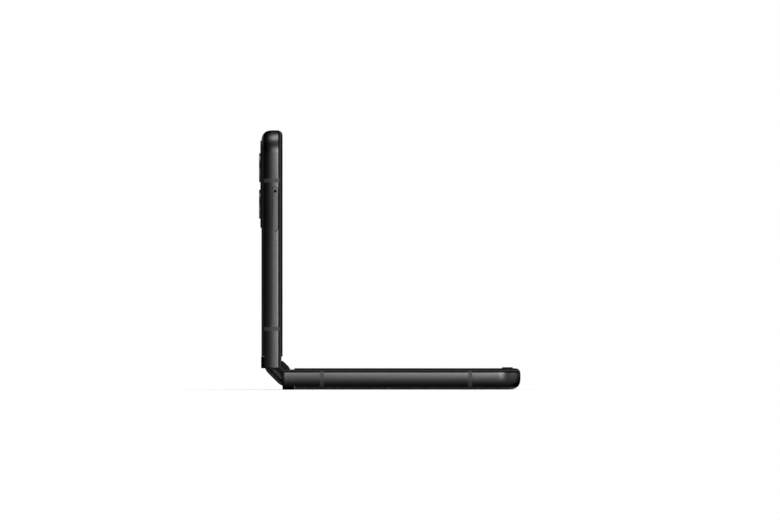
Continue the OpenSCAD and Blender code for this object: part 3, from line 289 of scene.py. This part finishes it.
def hinge_end(half, reach, share):
    """A zone from the hinge's end of a half to a distance from it."""
    direction, rest = ((-1, 0, 0), REST_X - CORNER) if half == "lower" else ((0, 0, -1), REST_Z - CORNER)
    return direction, -(rest + reach + ZONE_FADE) * MM, -(rest + reach - ZONE_FADE) * MM, share


def both_sides(v, share):
    """A zone outside a distance from the middle plane, on both sides."""
    return [((0, side, 0), v * MM, (v + ZONE_FADE) * MM, share) for side in (1, -1)]


def anodised(name, painted_zones=(), painted_brightness=1.0):
    """Black anodised aluminium, whose colour can be raised by a share as painted light."""
    return finish_material(
        name, tinted((0.057, 0.057, 0.059), painted_brightness), 0.32, painted_zones, metal=1.0, edge_tint=(0.12, 0.12, 0.12),
        grain=9000, vary=0.1, bump=0.1, depth=0.005, patch=70, patch_rough=0.02, edge=0.06,
    )


def anodised_side_painted_shade(half, fall, end):
    """A frame's band, with painted shade: darker toward the back edge, on the rim's chamfer and at the
    hinge's end.
    """
    painted_zones = [heights(half, *fall), heights(half, *RIM_CHAMFER_SHADE, 0.05), hinge_end(half, end, 0.1)]
    return anodised(f"anodised_aluminium_{half}", painted_zones)


def antenna_plastic(name, painted_zones):
    return finish_material(
        name, (0.026, 0.026, 0.027), 0.5, painted_zones, specular=0.3, grain=7000, bump=0.1, depth=0.006,
    )


def back_glass(half, painted_edge_light):
    """Hazed glass of a back cover, with painted light making its edge next to the frame paler."""
    return finish_material(
        f"hazed_back_glass_painted_light_{half}", (0.005, 0.005, 0.0055), 0.32, [heights(half, *BACK_EDGE_LIGHT, painted_edge_light)],
        specular=0.045, grain=5000, vary=0.15, bump=0.05, depth=0.004, patch=50, patch_rough=0.06,
    )


def rim_polymer_painted_shade(half):
    """Matt black polymer, with painted shade making the raised rim darker than its foot above the frame's
    seam.
    """
    return finish_material(
        f"rim_polymer_painted_shade_{half}", (0.022, 0.022, 0.023), 0.5, [heights(half, *RIM_TOP_SHADE, 0.05)], specular=0.012,
        grain=8000, depth=0.006, edge=0.05,
    )


def end_cap():
    """Black cap of the hinge, with painted light making its raised border, below its head, six times paler.
    """
    low, high = (DIAGONAL * (spine(0, 0, t).x + spine(0, 0, t).z) for t in (-1.75, -1.65))
    painted_zones = both_sides(34.36, 6) + [((DIAGONAL, 0, DIAGONAL), low, high, 1)]
    return finish_material(
        "end_cap_polymer_painted_light", (0.0035, 0.0035, 0.0037), 0.5, painted_zones, specular=0.06, grain=6000, depth=0.008,
    )


ALONG_WIDTH = dict(metal=1.0, grain=2600, stretch=(1, 0.06, 1))
DARK_BRUSHED = dict(metal=1.0, grain=2600, stretch=(0.08, 1, 1), vary=0.14, bump=0.2, depth=0.006, edge=0.05)
# By the record's material slots, and by a node's or a piece's own name where it differs from its slot.
MATERIALS = {
    "frame": anodised("anodised_aluminium"),
    # Painted shade on the frames' bands, set apart for the lower and the upper half.
    "lower_frame": anodised_side_painted_shade("lower", (-2.2, -5.6, 0.16), 0.7),
    "upper_frame": anodised_side_painted_shade("upper", (-2.6, -6.3, 0.22), 0.3),
    # Painted light and shade on the SIM tray: its colour raised 1.4 times, and darker toward the back.
    "sim_tray": anodised("anodised_tray_painted_light", [heights("upper", -1.8, -3.2, 0.5)], 1.4),
    # Painted shade: the hinge cover is darker beyond 34.3 mm from the middle, at its ends.
    "hinge_cover": anodised("anodised_hinge_cover_painted_shade", both_sides(34.3, 0.14)),
    "lower_bezel": rim_polymer_painted_shade("lower"),
    "upper_bezel": rim_polymer_painted_shade("upper"),
    "hinge_end_caps": end_cap(),
    # Painted shade on the antenna bands: darker toward the back edge and on the rim's chamfer, set apart for
    # each half.
    "lower_antenna_bands": antenna_plastic(
        "antenna_plastic_painted_shade_lower", [heights("lower", -1.9, -5.0, 0.3), heights("lower", *RIM_CHAMFER_SHADE, 0.3)],
    ),
    "upper_antenna_bands": antenna_plastic(
        "antenna_plastic_painted_shade_upper", [heights("upper", -3.0, -4.2, 0.6), heights("upper", *RIM_CHAMFER_SHADE, 0.45)],
    ),
    "rubber": finish_material(
        "bumper_rubber", (0.004, 0.004, 0.004), 0.62, specular=0.06, grain=6000, bump=0.25,
    ),
    # Painted light on the back glass's edge: 8 times paler on the lower half, 3 times on the upper.
    "lower_back_cover": back_glass("lower", 8),
    "upper_back_cover": back_glass("upper", 3),
    "panel_glass": panel_material("polished_cover_glass"),
    "screen": finish_material(
        "folding_screen_film", (0.003, 0.003, 0.0036), 0.16, specular=0.3, grain=900, vary=0.2, bump=0.01,
        depth=0.002, patch=45, patch_rough=0.06,
    ),
    "steel": finish_material(
        "satin_steel", (0.5, 0.5, 0.51), 0.3, bump=0.2, depth=0.006, edge=0.05, **ALONG_WIDTH,
    ),
    "gold_steel": finish_material(
        "warm_steel", (0.5, 0.44, 0.32), 0.26, vary=0.1, depth=0.005, edge=0.04, **ALONG_WIDTH,
    ),
    "dark_steel": finish_material("dark_steel", (0.16, 0.16, 0.165), 0.36, **DARK_BRUSHED),
    # Painted shade: the guide blocks' ends beyond 32.5 mm from the middle are much darker.
    "guide_blocks": finish_material(
        "dark_blocks_painted_shade", (0.03, 0.03, 0.031), 0.45, both_sides(32.5, 0.06), **DARK_BRUSHED,
    ),
    "hinge_screws": finish_material(
        "blackened_screws", (0.012, 0.012, 0.0125), 0.45, metal=1.0, grain=4000, depth=0.006, edge=0.04,
    ),
    "battery": finish_material(
        "battery_wrap", (0.03, 0.03, 0.034), 0.42, specular=0.4, grain=420, vary=0.2, bump=0.35, depth=0.05,
        patch=120, patch_rough=0.08,
    ),
    "board": board_material("solder_mask"),
    "black_plastic": finish_material(
        "moulded_black_plastic", (0.012, 0.012, 0.013), 0.5, specular=0.35, grain=4000, bump=0.25, edge=0.06,
    ),
    "copper": finish_material(
        "enamelled_copper", (0.62, 0.27, 0.12), 0.28, metal=1.0, grain=1800, bump=0.1, depth=0.006, coat=0.4,
        coat_rough=0.1,
    ),
    "ferrite": finish_material(
        "ferrite_sheet", (0.04, 0.038, 0.038), 0.6, specular=0.3, grain=1500, vary=0.25, bump=0.3, depth=0.02,
    ),
    "magnet": finish_material(
        "nickel_plate", (0.62, 0.6, 0.56), 0.18, metal=1.0, vary=0.05, bump=0.08, depth=0.004, edge=0.08,
    ),
    "polyimide": lined_material("polyimide_flex", (0.42, 0.2, 0.045), (0.24, 0.1, 0.02), 900, "Y", 0.35, 0.0),
    "ring": finish_material(
        "turned_ring", (0.17, 0.17, 0.173), 0.42, metal=1.0, edge_tint=(0.25, 0.25, 0.25), grain=5000,
        depth=0.005,
    ),
    "lens": finish_material(
        "coated_lens", (0.002, 0.0025, 0.006), 0.05, specular=0.16, grain=2000, vary=0.1, bump=0.01,
        depth=0.002, patch_rough=0.02, coat=0.08,
    ),
    "lens_barrels": finish_material(
        "blackened_barrel", (0.0016, 0.0016, 0.0018), 0.6, specular=0.02, grain=6000, bump=0.05, depth=0.005,
    ),
    "flash": finish_material("flash_fresnel", (0.72, 0.66, 0.4), 0.22, grain=4000, vary=0.1, coat=0.5),
    "gold": finish_material(
        "contact_gold", (0.9, 0.62, 0.24), 0.2, metal=1.0, grain=6000, vary=0.08, bump=0.1, depth=0.003,
    ),
    "mesh_cloth": lined_material(
        "woven_grille", (0.05, 0.05, 0.052), (0.004, 0.004, 0.004), 9000, "DIAGONAL", 0.5, 0.6,
    ),
    "glass": glass_material("lens_cover_glass", (0.93, 0.94, 0.96)),
}
record_slots = {row["node"]: row["material_slot"] for row in frame["record"]["subparts"]}


def material_of(name, slot):
    return MATERIALS.get(name) or MATERIALS[slot]


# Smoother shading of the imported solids: merged corners, rounded faces smooth, true edges sharp.


def shading_group():
    g = bpy.data.node_groups.new("smooth_rounded_faces", "GeometryNodeTree")
    for way in ("INPUT", "OUTPUT"):
        g.interface.new_socket("Geometry", in_out=way, socket_type="NodeSocketGeometry")
    start = g.nodes.new("NodeGroupInput")
    end = g.nodes.new("NodeGroupOutput")
    bare = g.nodes.new("GeometryNodeRemoveAttribute")
    bare.inputs["Name"].default_value = "custom_normal"
    merge = g.nodes.new("GeometryNodeMergeByDistance")
    merge.inputs["Distance"].default_value = 1e-6
    faces = g.nodes.new("GeometryNodeSetShadeSmooth")
    faces.domain = "FACE"
    edges = g.nodes.new("GeometryNodeSetShadeSmooth")
    edges.domain = "EDGE"
    edges.inputs["Shade Smooth"].default_value = False
    angle = g.nodes.new("GeometryNodeInputMeshEdgeAngle")
    sharp = g.nodes.new("FunctionNodeCompare")
    sharp.data_type = "FLOAT"
    sharp.operation = "GREATER_THAN"
    sharp.inputs[1].default_value = math.radians(SHARP_CAD_EDGE)
    steps = (bare, merge, faces, edges)
    g.links.new(start.outputs[0], bare.inputs["Geometry"])
    for before, after in zip(steps, steps[1:]):
        g.links.new(before.outputs["Geometry"], after.inputs["Geometry"])
    g.links.new(angle.outputs["Unsigned Angle"], sharp.inputs[0])
    g.links.new(sharp.outputs["Result"], edges.inputs["Selection"])
    g.links.new(edges.outputs["Geometry"], end.inputs[0])
    return g


SHADING = shading_group()


def dress(name, rounding, segments):
    """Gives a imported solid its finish, its smooth shading and, if asked, rounded edges."""
    o = nodes[name]
    o.data.materials.clear()
    o.data.materials.append(material_of(name, record_slots[name]))
    o.modifiers.new("smooth", "NODES").node_group = SHADING
    if rounding:
        b = o.modifiers.new("rounding", "BEVEL")
        b.width = rounding * MM
        b.segments = segments
        b.limit_method = "ANGLE"
        b.angle_limit = math.radians(ROUNDED_CAD_EDGE)
        b.use_clamp_overlap = False
        b.miter_outer = "MITER_ARC"
    n = o.modifiers.new("normals", "WEIGHTED_NORMAL")
    n.keep_sharp = True
    n.weight = NORMAL_WEIGHT


# Width of a node's rounded edges, and the nodes whose rounding is finer.
ROUNDED = {
    "power_key": 0.16, "volume_key": 0.16, "sim_tray": 0.1, "camera_rings": 0.14, "cover_panel": 0.18,
    "usb_port": 0.08, "lower_battery": 0.4, "upper_battery": 0.4, "lower_magnets": 0.15,
    "upper_magnets": 0.15, "loudspeaker": 0.25, "vibration_motor": 0.2, "earpiece": 0.2, "usb_tongue": 0.1,
    "shield_cans": 0.08, "camera_modules": 0.2,
}
FINER = ("power_key", "volume_key", "cover_panel", "camera_rings")
for node_name in nodes:
    dress(node_name, ROUNDED.get(node_name), 3 if node_name in FINER else 2)


# Mesh code


def piece(name, verts, faces, body, slot, smooth=True, replaced=()):
    mesh = bpy.data.meshes.new(name)
    mesh.from_pydata([tuple(v) for v in verts], [], faces)
    bm = bmesh.new()
    bm.from_mesh(mesh)
    bmesh.ops.recalc_face_normals(bm, faces=bm.faces)
    bm.to_mesh(mesh)
    bm.free()
    mesh.polygons.foreach_set("use_smooth", [smooth] * len(mesh.polygons))
    mesh.materials.append(material_of(name, slot))
    o = bpy.data.objects.new(name, mesh)
    bpy.context.scene.collection.objects.link(o)
    if body:
        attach(o, body)
    if replaced:
        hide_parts(*replaced)
    return o


class Shape:
    """Collects vertices and faces of several forms for one piece."""

    def __init__(self):
        self.verts, self.faces = [], []

    def grid(self, rows, close_rows=False, close_columns=False):
        base, n = len(self.verts), len(rows[0])
        for row in rows:
            self.verts += row
        for i in range(len(rows) - (0 if close_rows else 1)):
            for k in range(n - (0 if close_columns else 1)):
                a, b = base + i * n, base + (i + 1) % len(rows) * n
                self.faces.append((a + k, a + (k + 1) % n, b + (k + 1) % n, b + k))
        return base

    def rod(self, rings):
        """Joins closed rings of points, with a flat end at the first and at the last."""
        base, n = self.grid(rings, close_columns=True), len(rings[0])
        for first in (base, base + (len(rings) - 1) * n):
            self.faces.append(tuple(range(first, first + n)))

    def disc(self, sections):
        """Joins sections into a closed rim, with a flat face over their first and over their last points."""
        base, n = self.grid(sections, close_rows=True), len(sections[0])
        for column in (0, n - 1):
            self.faces.append(tuple(base + n * k + column for k in range(len(sections))))

    def lathe(self, place, profile, segments=72):
        """Turns (radius, height) points round the axis of place(radius x, radius y, height)."""
        rows = []
        for a in (turn(k, segments) for k in range(segments)):
            rows.append([place(r * math.cos(a), r * math.sin(a), h) for r, h in profile])
        self.grid(rows, close_rows=True, close_columns=True)

    def tube(self, path, radius, sides=8, flat=1.0, up=(0, 0, 1)):
        """A wire along path, whose height is its width times flat."""
        rings = []
        for i, p in enumerate(path):
            ahead = (path[min(i + 1, len(path) - 1)] - path[max(i - 1, 0)]).normalized()
            side = ahead.cross(Vector(up)).normalized() * radius * MM
            top = side.cross(ahead) * flat
            angles = [turn(k, sides) for k in range(sides)]
            rings.append([p + side * math.cos(a) + top * math.sin(a) for a in angles])
        self.rod(rings)

    def box(self, place, low, high):
        base, (xs, ys, zs) = len(self.verts), zip(low, high)
        self.verts += [place(x, y, z) for x in xs for y in ys for z in zs]
        for face in ((0, 1, 3, 2), (4, 6, 7, 5), (0, 4, 5, 1), (2, 3, 7, 6), (0, 2, 6, 4), (1, 5, 7, 3)):
            self.faces.append(tuple(base + i for i in face))

    def make(self, name, body, slot, smooth=True, replaced=()):
        return piece(name, self.verts, self.faces, body, slot, smooth, replaced)


def sharpen(o, degrees=SHARP_EDGE):
    """Marks edges sharper than the limit, so that flats stay flat."""
    bm = bmesh.new()
    bm.from_mesh(o.data)
    for e in bm.edges:
        if len(e.link_faces) == 2 and e.calc_face_angle(0) > math.radians(degrees):
            e.smooth = False
    bm.to_mesh(o.data)
    bm.free()
    return o


def around(half, u, v):
    """Places turned forms round a point of a half, with their heights along its w."""
    return lambda x, y, h: half(u + x, v + y, h)


def corner(radius, angle, side):
    """A point at a radius round a free corner's centre, at an angle from the free end toward the side."""
    u = HALF_LENGTH - CORNER_RADIUS + radius * math.cos(angle)
    return u, side * (HALF_SIDE - CORNER_RADIUS + radius * math.sin(angle))


# The bumpers: soft domes that follow the rim's corners.
def bumpers():
    front_round, rim_width, from_end = 2.1, 3.6, 4.15
    length, width, height = 4.5, 1.3, 0.36
    steps, columns, least = 40, 16, 0.002
    end_fall, shoulder, crown = 0.8, 2.6, 2.2
    ring = CORNER_RADIUS - (front_round + rim_width) / 2
    centre = math.acos((CORNER_RADIUS - from_end) / ring)
    s = Shape()
    for side in (1, -1):
        rows = []
        for i in range(steps + 1):
            along = -length / 2 * math.cos(math.pi * i / steps)
            over = max(0.0, abs(along) - (length - width) / 2) / (width / 2)
            half = max(width / 2 * math.sqrt(max(0.0, 1 - over * over)), least)
            top = height * (half / (width / 2)) ** end_fall
            row = []
            for k in range(columns + 1):
                x = -math.cos(math.pi * k / columns)
                u, v = corner(ring + half * x, centre + along / ring, side)
                row.append(lower(u, v, top * (1 - abs(x) ** shoulder) ** (1 / crown)))
            rows.append(row)
        base, n = s.grid(rows), columns + 1
        left = [base + i * n for i in range(steps + 1)]
        s.faces.append(tuple(left + [first + columns for first in reversed(left)]))
    s.make("corner_bumpers", "lower_half", "rubber", replaced=["lower_bumpers"])


bumpers()


# The fold of the screen and of the flex cables: one bend, in a half for each phone half.
def fold_point(radius, degrees, v):
    """A point of the bend, at an angle from its middle."""
    a = math.radians(degrees - 90)
    return spine(radius * math.cos(a), v, FOLD_CENTRE_T + radius * math.sin(a))


def fold_half(name, side, radius, thickness, strips, slot, replaced, thinned=0.0, follow=1.0):
    """A sheet from the flat part to the bend's middle, on side 1 for the lower half or -1 for the upper.

    Its underside is thinned toward the middle. The share follow is not used.
    """
    s = Shape()
    outer = HALF_BEND * side
    a = math.radians(outer)
    ahead = (spine(side * math.cos(a), 0, side * math.sin(a)) - spine(0, 0, 0)).normalized()
    run, run_steps, bend_steps = FOLD_FLAT - FACE_GAP - FOLD_TANGENT_U, 4, 16
    stations = [(outer, run * k / run_steps) for k in range(run_steps, 0, -1)]
    stations += [(outer * (1 - k / bend_steps), 0) for k in range(bend_steps + 1)]
    for v0, v1 in strips:
        count = max(2, int((v1 - v0) / FOLD_COLUMN))
        columns = [v0 + (v1 - v0) * k / count for k in range(count + 1)]
        rings = []
        for degrees, away in stations:
            under = radius + thickness / 2 - thinned * (1 - abs(degrees) / HALF_BEND)
            ring = [(under, v) for v in columns] + [(radius - thickness / 2, v) for v in reversed(columns)]
            rings.append([fold_point(r, degrees, v) + ahead * away * MM for r, v in ring])
        s.rod(rings)
    o = sharpen(s.make(name, None, slot, replaced=replaced), FOLD_SHARP)
    start = fold_point(radius, outer, 0)
    middle = start + (fold_point(radius, 0, 0) - start) / follow
    if side > 0:
        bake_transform(o)
    else:
        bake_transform(o)


screen_strips = [(-SCREEN_SIDE, SCREEN_SIDE)]
flex_strips = [(c - FLEX_WIDTH / 2, c + FLEX_WIDTH / 2) for c in (-FLEX_CENTRE, FLEX_CENTRE)]
for bend_side, label in ((1, "lower"), (-1, "upper")):
    fold_half(
        f"screen_fold_{label}", bend_side, FOLD_RADIUS, SCREEN_THICKNESS, screen_strips, "screen",
        ["display_fold"], thinned=0.06, follow=0.533,
    )
    fold_half(
        f"flex_fold_{label}", bend_side, FLEX_RADIUS, FLEX_THICKNESS, flex_strips, "polyimide", ["flex_fold"],
    )


# The cameras: cover glass, stepped barrel and coated front element.
def cameras():
    glass, stack, element = Shape(), Shape(), Shape()
    top, r = RING_TOP + LENS_SINK, LENS_RADIUS - FACE_GAP
    dome_radius, dome_foot, dome_rise, dome_steps = 1.62, top + 0.5, 0.26, 12
    dome = [
        (dome_radius * math.sin(a), dome_foot - dome_rise * math.cos(a))
        for a in (math.pi / 2 * k / dome_steps for k in range(dome_steps, 0, -1))
    ]
    for u in CAMERA_US:
        place = around(upper, u, CAMERA_V)
        glass.lathe(place, [
            (AT_AXIS, top + 0.14), (r, top + 0.14), (r, top + 0.03), (r - 0.04, top), (AT_AXIS, top),
        ])
        stack.lathe(place, [
            (AT_AXIS, top + 0.62), (r, top + 0.62), (r, top + 0.15), (2.75, top + 0.15),
            (2.65, top + 0.25), (2.3, top + 0.25), (2.2, top + 0.36), (1.95, top + 0.36),
            (1.85, top + 0.47), (AT_AXIS, top + 0.47),
        ])
        element.lathe(place, [(AT_AXIS, dome_foot)] + dome + [(AT_AXIS, dome_foot - dome_rise)])
    sharpen(glass.make("lens_glass", "upper_half", "glass"))
    sharpen(stack.make("lens_barrels", "upper_half", "black_plastic", replaced=["camera_lenses"]))
    element.make("lens_elements", "upper_half", "lens")


cameras()


# The flash: a thin lens with moulded rings.
def flash():
    inner_face, top, side = -6.64, PANEL_TOP + 0.01, FLASH_RADIUS - FACE_GAP
    first_ring, ring_pitch, ring_depth, sharp = 1.4, 0.22, 0.07, 60
    profile = [(AT_AXIS, inner_face), (side, inner_face), (side, top + 0.05), (side - 0.06, top)]
    for k in range(6):
        outer = first_ring - ring_pitch * k
        profile += [(outer, top), (outer - 0.12, top + ring_depth), (outer - 0.2, top)]
    profile.append((AT_AXIS, top))
    s = Shape()
    s.lathe(around(upper, FLASH_U, FLASH_V), profile)
    sharpen(s.make("flash_fresnel_lens", "upper_half", "flash", replaced=["flash_lens"]), sharp)


flash()


# Springs wound as springs, on the crank shafts, with their turns unevenly spaced.
def springs():
    near, far, shaft_s, shaft_t, radius, wire = 10.6, 16.2, 3.74199, -3.9, 1.0, 0.2
    turns, steps, uneven = 7, 24, 0.06
    s = Shape()
    for side in (-1, 1):
        for shaft in (-shaft_s, shaft_s):
            path = []
            for k in range(turns * steps + 1):
                a = turn(k, steps)
                share = k / (turns * steps)
                share += uneven * math.sin(2 * math.pi * share)
                v = near + wire + (far - near - 2 * wire) * share
                path.append(spine(shaft + radius * math.cos(a), side * v, shaft_t + radius * math.sin(a)))
            s.tube(path, wire, up=(0, 1, 0))
    s.make("wound_springs", "hinge_spine", "steel", replaced=["hinge_springs"])


springs()


# The charging coil: a flat winding on its ferrite sheet.
def coil():
    low, thick, outer, bore, centre = -6.48, 0.35, 21.0, 10.0, 36.2
    turns, steps, margin = 22, 56, 0.3
    path = []
    for k in range(turns * steps + 1):
        a = turn(k, steps)
        r = outer - margin - (outer - bore - 2 * margin) * k / (turns * steps)
        path.append(lower(centre + r * math.cos(a), r * math.sin(a), low + thick / 2))
    s = Shape()
    s.tube(path, 0.22, sides=6, flat=0.75)
    s.make("coil_winding", "lower_half", "copper", replaced=["wireless_coil"])


coil()


# Contacts on both faces of the charging port's tongue. The power contacts are longer.
def contacts():
    count, pitch, half_width, thick = 12, 0.5, 0.125, 0.03
    front, tongue_half, power = 81.75, 0.35, (0, 3, 8, 11)
    s = Shape()
    for k in range(count):
        v = (k - (count - 1) / 2) * pitch
        long = 4.2 if k in power else 3.6
        for face in (-1, 1):
            w = sorted((PORT_W + face * tongue_half, PORT_W + face * (tongue_half + thick)))
            s.box(lower, (front - long, v - half_width, w[0]), (front, v + half_width, w[1]))
    s.make("port_contacts", "lower_half", "gold", smooth=False)


contacts()


# Woven grilles in the speaker and microphone holes, and over the earpiece.
def grilles():
    speaker_v, hole_pitch, speaker_radius, microphone_v, microphone_radius = -19.485, 2, 0.59, 12.0, 0.49
    holes = [(speaker_v + hole_pitch * (k - 2.5), speaker_radius) for k in range(6)]
    s = Shape()
    for v, r in holes + [(microphone_v, microphone_radius)]:
        profile = [(AT_AXIS, 81.9), (r, 81.9), (r, 82.0), (0.5 * r, 82.02), (AT_AXIS, 82.03)]
        s.lathe(lambda x, y, h, v=v: lower(h, v + x, PORT_W + y), profile, 24)
    s.make("speaker_grilles", "lower_half", "mesh_cloth")
    slot_u, slot_half, slot_round, steps, step_up = 79.17, 5.0, 0.2, 40, 0.02
    outline = ((slot_round, 1, 0), (slot_round, 1, step_up), (0.13, 0.985, 2 * step_up))
    sections = []
    for k in range(steps):
        x, y = math.cos(turn(k, steps)), math.sin(turn(k, steps))
        v = slot_half * (1 if x > 0 else -1) + slot_round * x
        sections.append([upper(slot_u + r * y, v * narrow, SCREEN_TOP + h) for r, narrow, h in outline])
    e = Shape()
    e.disc(sections)
    e.make("earpiece_grille", "upper_half", "mesh_cloth")


grilles()


# The front camera's own small lens, in the hole of the screen.
def selfie():
    place, top, segments = around(upper, 77.2, 0), SCREEN_TOP, 48
    s = Shape()
    s.lathe(place, [
        (AT_AXIS, top - 0.1), (1.46, top - 0.1), (1.46, top - 0.04), (1.4, top - 0.02), (0.95, top - 0.02),
        (0.9, top - 0.05), (0.72, top - 0.05), (0.68, top - 0.08), (AT_AXIS, top - 0.08),
    ], segments)
    sharpen(s.make("front_camera_trim", "upper_half", "black_plastic"))
    radius, back, foot, rise, steps = 0.6, top - 0.085, top - 0.08, 0.05, 8
    profile = [(AT_AXIS, back), (radius, back)]
    for a in (math.pi / 2 * k / steps for k in range(steps, 0, -1)):
        profile.append((radius * math.sin(a), foot + rise * math.cos(a)))
    e = Shape()
    e.lathe(place, profile + [(AT_AXIS, foot + rise)], segments)
    e.make("front_camera_lens", "upper_half", "lens")


selfie()


# Painted shade: thin black strips in the seams between each frame and its rim and back cover, seen as dark
# lines.
def seam_shade_strip(s, place, inset, start, low, high):
    depth, arc_steps = 0.6, 20
    outline = []
    for side in (1, -1):
        line = [(start, side * (HALF_SIDE - inset))]
        for k in range(arc_steps, -1, -1):
            line.append(corner(CORNER_RADIUS - inset, math.pi / 2 * k / arc_steps, side))
        outline += line[::side]
    rings = []
    for i, here in enumerate(outline):
        ahead = (Vector(outline[min(i + 1, len(outline) - 1)]) - Vector(outline[max(i - 1, 0)])).normalized()
        u, v = Vector(here) + depth * Vector((ahead.y, -ahead.x))
        rings.append([place(*here, low), place(*here, high), place(u, v, high), place(u, v, low)])
    s.rod(rings)


def seams():
    for half, place in (("lower", lower), ("upper", upper)):
        s = Shape()
        seam_shade_strip(s, place, 0.3, 0.4, -1.095, -1.065)
        seam_shade_strip(s, place, 1.15, 4.3, -6.595, -6.505)
        s.make(f"{half}_seam_shade_sheet", f"{half}_half", "rubber", smooth=False)


seams()


# Painted shade: thin black sheets inside the walls beside the hinge spine, which close the gap at its ends.
def gap_shade_sheets():
    near, far, end_u, radius, steps = 34.67, 34.79, 0.05, 5.5, 24
    edge = [(end_u, SCREEN_TOP), (AXIS_U, SCREEN_TOP)]
    for a in (math.radians(6 - 96 * k / steps) for k in range(steps + 1)):
        edge.append((AXIS_U + radius * math.cos(a), AXIS_W + radius * math.sin(a)))
    edge.append((end_u, AXIS_W - radius))
    for half, place in (("lower", lower), ("upper", upper)):
        s = Shape()
        for side in (1, -1):
            s.disc([[place(u, side * far, w), place(u, side * near, w)] for u, w in edge])
        s.make(f"{half}_gap_shade_sheets", f"{half}_half", "rubber", smooth=False)


gap_shade_sheets()


# Studio: pale floor, white surround, soft light from the side of the inner corner. Places are in metres.


def mix_shaders(t, factor, a, b, out):
    m = t.nodes.new("ShaderNodeMixShader")
    for key, source in enumerate((factor, a.outputs[0], b.outputs[0])):
        t.links.new(source, m.inputs[key])
    t.links.new(m.outputs[0], out.inputs["Surface"])


def stage():
    """A disc that is pale under the phone, and plain white round it for all that sees or mirrors it."""
    m, t, p = new_material("pale_floor", {"Roughness": 0.9, "Specular IOR Level": 0.1})
    t.links.new(mix_colors(t, noise(t, 30), (0.9, 0.9, 0.9), (0.93, 0.93, 0.93)), p.inputs["Base Color"])
    glow = t.nodes.new("ShaderNodeEmission")
    glow.inputs["Color"].default_value = (1, 1, 1, 1)
    path = t.nodes.new("ShaderNodeLightPath").outputs
    away = spread(t, measure(t, "LENGTH", object_place(t)), 0, 1, 0.05, 0.11)
    mirrored = calc(t, "ADD", path["Is Glossy Ray"], path["Is Transmission Ray"])
    seen = calc(t, "ADD", path["Is Camera Ray"], mirrored, clamp=True)
    mix_shaders(t, calc(t, "MULTIPLY", away, seen), p, glow, t.nodes["Material Output"])
    mesh = bpy.data.meshes.new("floor")
    radius, sides = 0.7, 96
    rim = [(radius * math.cos(turn(k, sides)), radius * math.sin(turn(k, sides)), 0) for k in range(sides)]
    mesh.from_pydata(rim, [], [tuple(range(sides))])
    mesh.materials.append(m)
    floor = bpy.data.objects.new("floor", mesh)
    bpy.context.scene.collection.objects.link(floor)


def surround():
    """White where it is seen, and a soft fall of light from one side where it lights or is mirrored."""
    world = bpy.data.worlds.new("studio")
    bpy.context.scene.world = world
    world.use_nodes = True
    t = world.node_tree
    t.nodes.clear()
    seen, light = t.nodes.new("ShaderNodeBackground"), t.nodes.new("ShaderNodeBackground")
    seen.inputs["Color"].default_value = (1, 1, 1, 1)
    path = t.nodes.new("ShaderNodeLightPath").outputs
    where = t.nodes.new("ShaderNodeTexCoord").outputs["Generated"]
    toward = measure(t, "DOT_PRODUCT", where, Vector((0.55, 0.5, 0.67)).normalized())
    start, stop = -0.05, 0.8
    side = spread(t, toward, 0, 1, start, stop)
    t.links.new(mix_colors(t, side, (0.03, 0.03, 0.03), (0.6, 0.6, 0.6)), light.inputs["Color"])
    glare = calc(t, "MULTIPLY", path["Is Glossy Ray"], spread(t, toward, 0, 0.5, start, stop))
    glare = calc(t, "ADD", glare, path["Is Transmission Ray"])
    share = calc(t, "ADD", path["Is Camera Ray"], glare, clamp=True)
    mix_shaders(t, share, light, seen, t.nodes.new("ShaderNodeOutputWorld"))


def aimed(name, data, place, target):
    """Stands a lamp or a camera at a place, facing a target."""
    o = bpy.data.objects.new(name, data)
    o.location = place
    o.rotation_mode = "QUATERNION"
    o.rotation_quaternion = (Vector(place) - Vector(target)).to_track_quat("Z", "Y")
    bpy.context.scene.collection.objects.link(o)
    return o


def lamp(name, place, size, watts):
    data = bpy.data.lights.new(name, "AREA")
    data.shape = "RECTANGLE"
    data.size, data.size_y = size
    data.energy = watts
    o = aimed(name, data, place, (-0.02, 0, 0.03))
    o.visible_camera = False
    return o


def shaded_from(light, names):
    """Keeps a softbox's mirror image off the polished faces, as a black flag does in a studio."""
    kept_off = bpy.data.collections.new("flagged_faces")
    for name in names:
        kept_off.objects.link(nodes.get(name) or bpy.data.objects[name])
    light.light_linking.receiver_collection = kept_off
    for row in kept_off.collection_objects:
        row.light_linking.link_state = "EXCLUDE"


def camera():
    """A long lens level with the inner corner, so that both inner faces are seen edge on."""
    distance, width, sensor, near_side = 8.0, 0.2717, 36, HALF_SIDE * MM
    data = bpy.data.cameras.new("camera")
    data.sensor_width = sensor
    data.lens = sensor * (distance - near_side) / width
    data.clip_end = 20
    place, target = (REST_X * MM, -distance, REST_Z * MM), (0.00007, -near_side, 0.04519)
    bpy.context.scene.camera = aimed("camera", data, place, target)


stage()
surround()
key = lamp("key_softbox", (0.3, -1.05, 0.3), (0.62, 0.62), 12.0)
shaded_from(key, [
    "lower_display", "upper_display", "screen_fold_lower", "screen_fold_upper", "lower_back_cover",
    "upper_back_cover", "cover_panel", "lens_glass",
])
lamp("top_softbox", (0.05, -0.05, 0.95), (0.6, 0.36), 4.5)
lamp("side_softbox", (0.95, -0.05, 0.12), (0.8, 0.8), 1.6)
camera()
bpy.context.scene.view_settings.view_transform = "Standard"
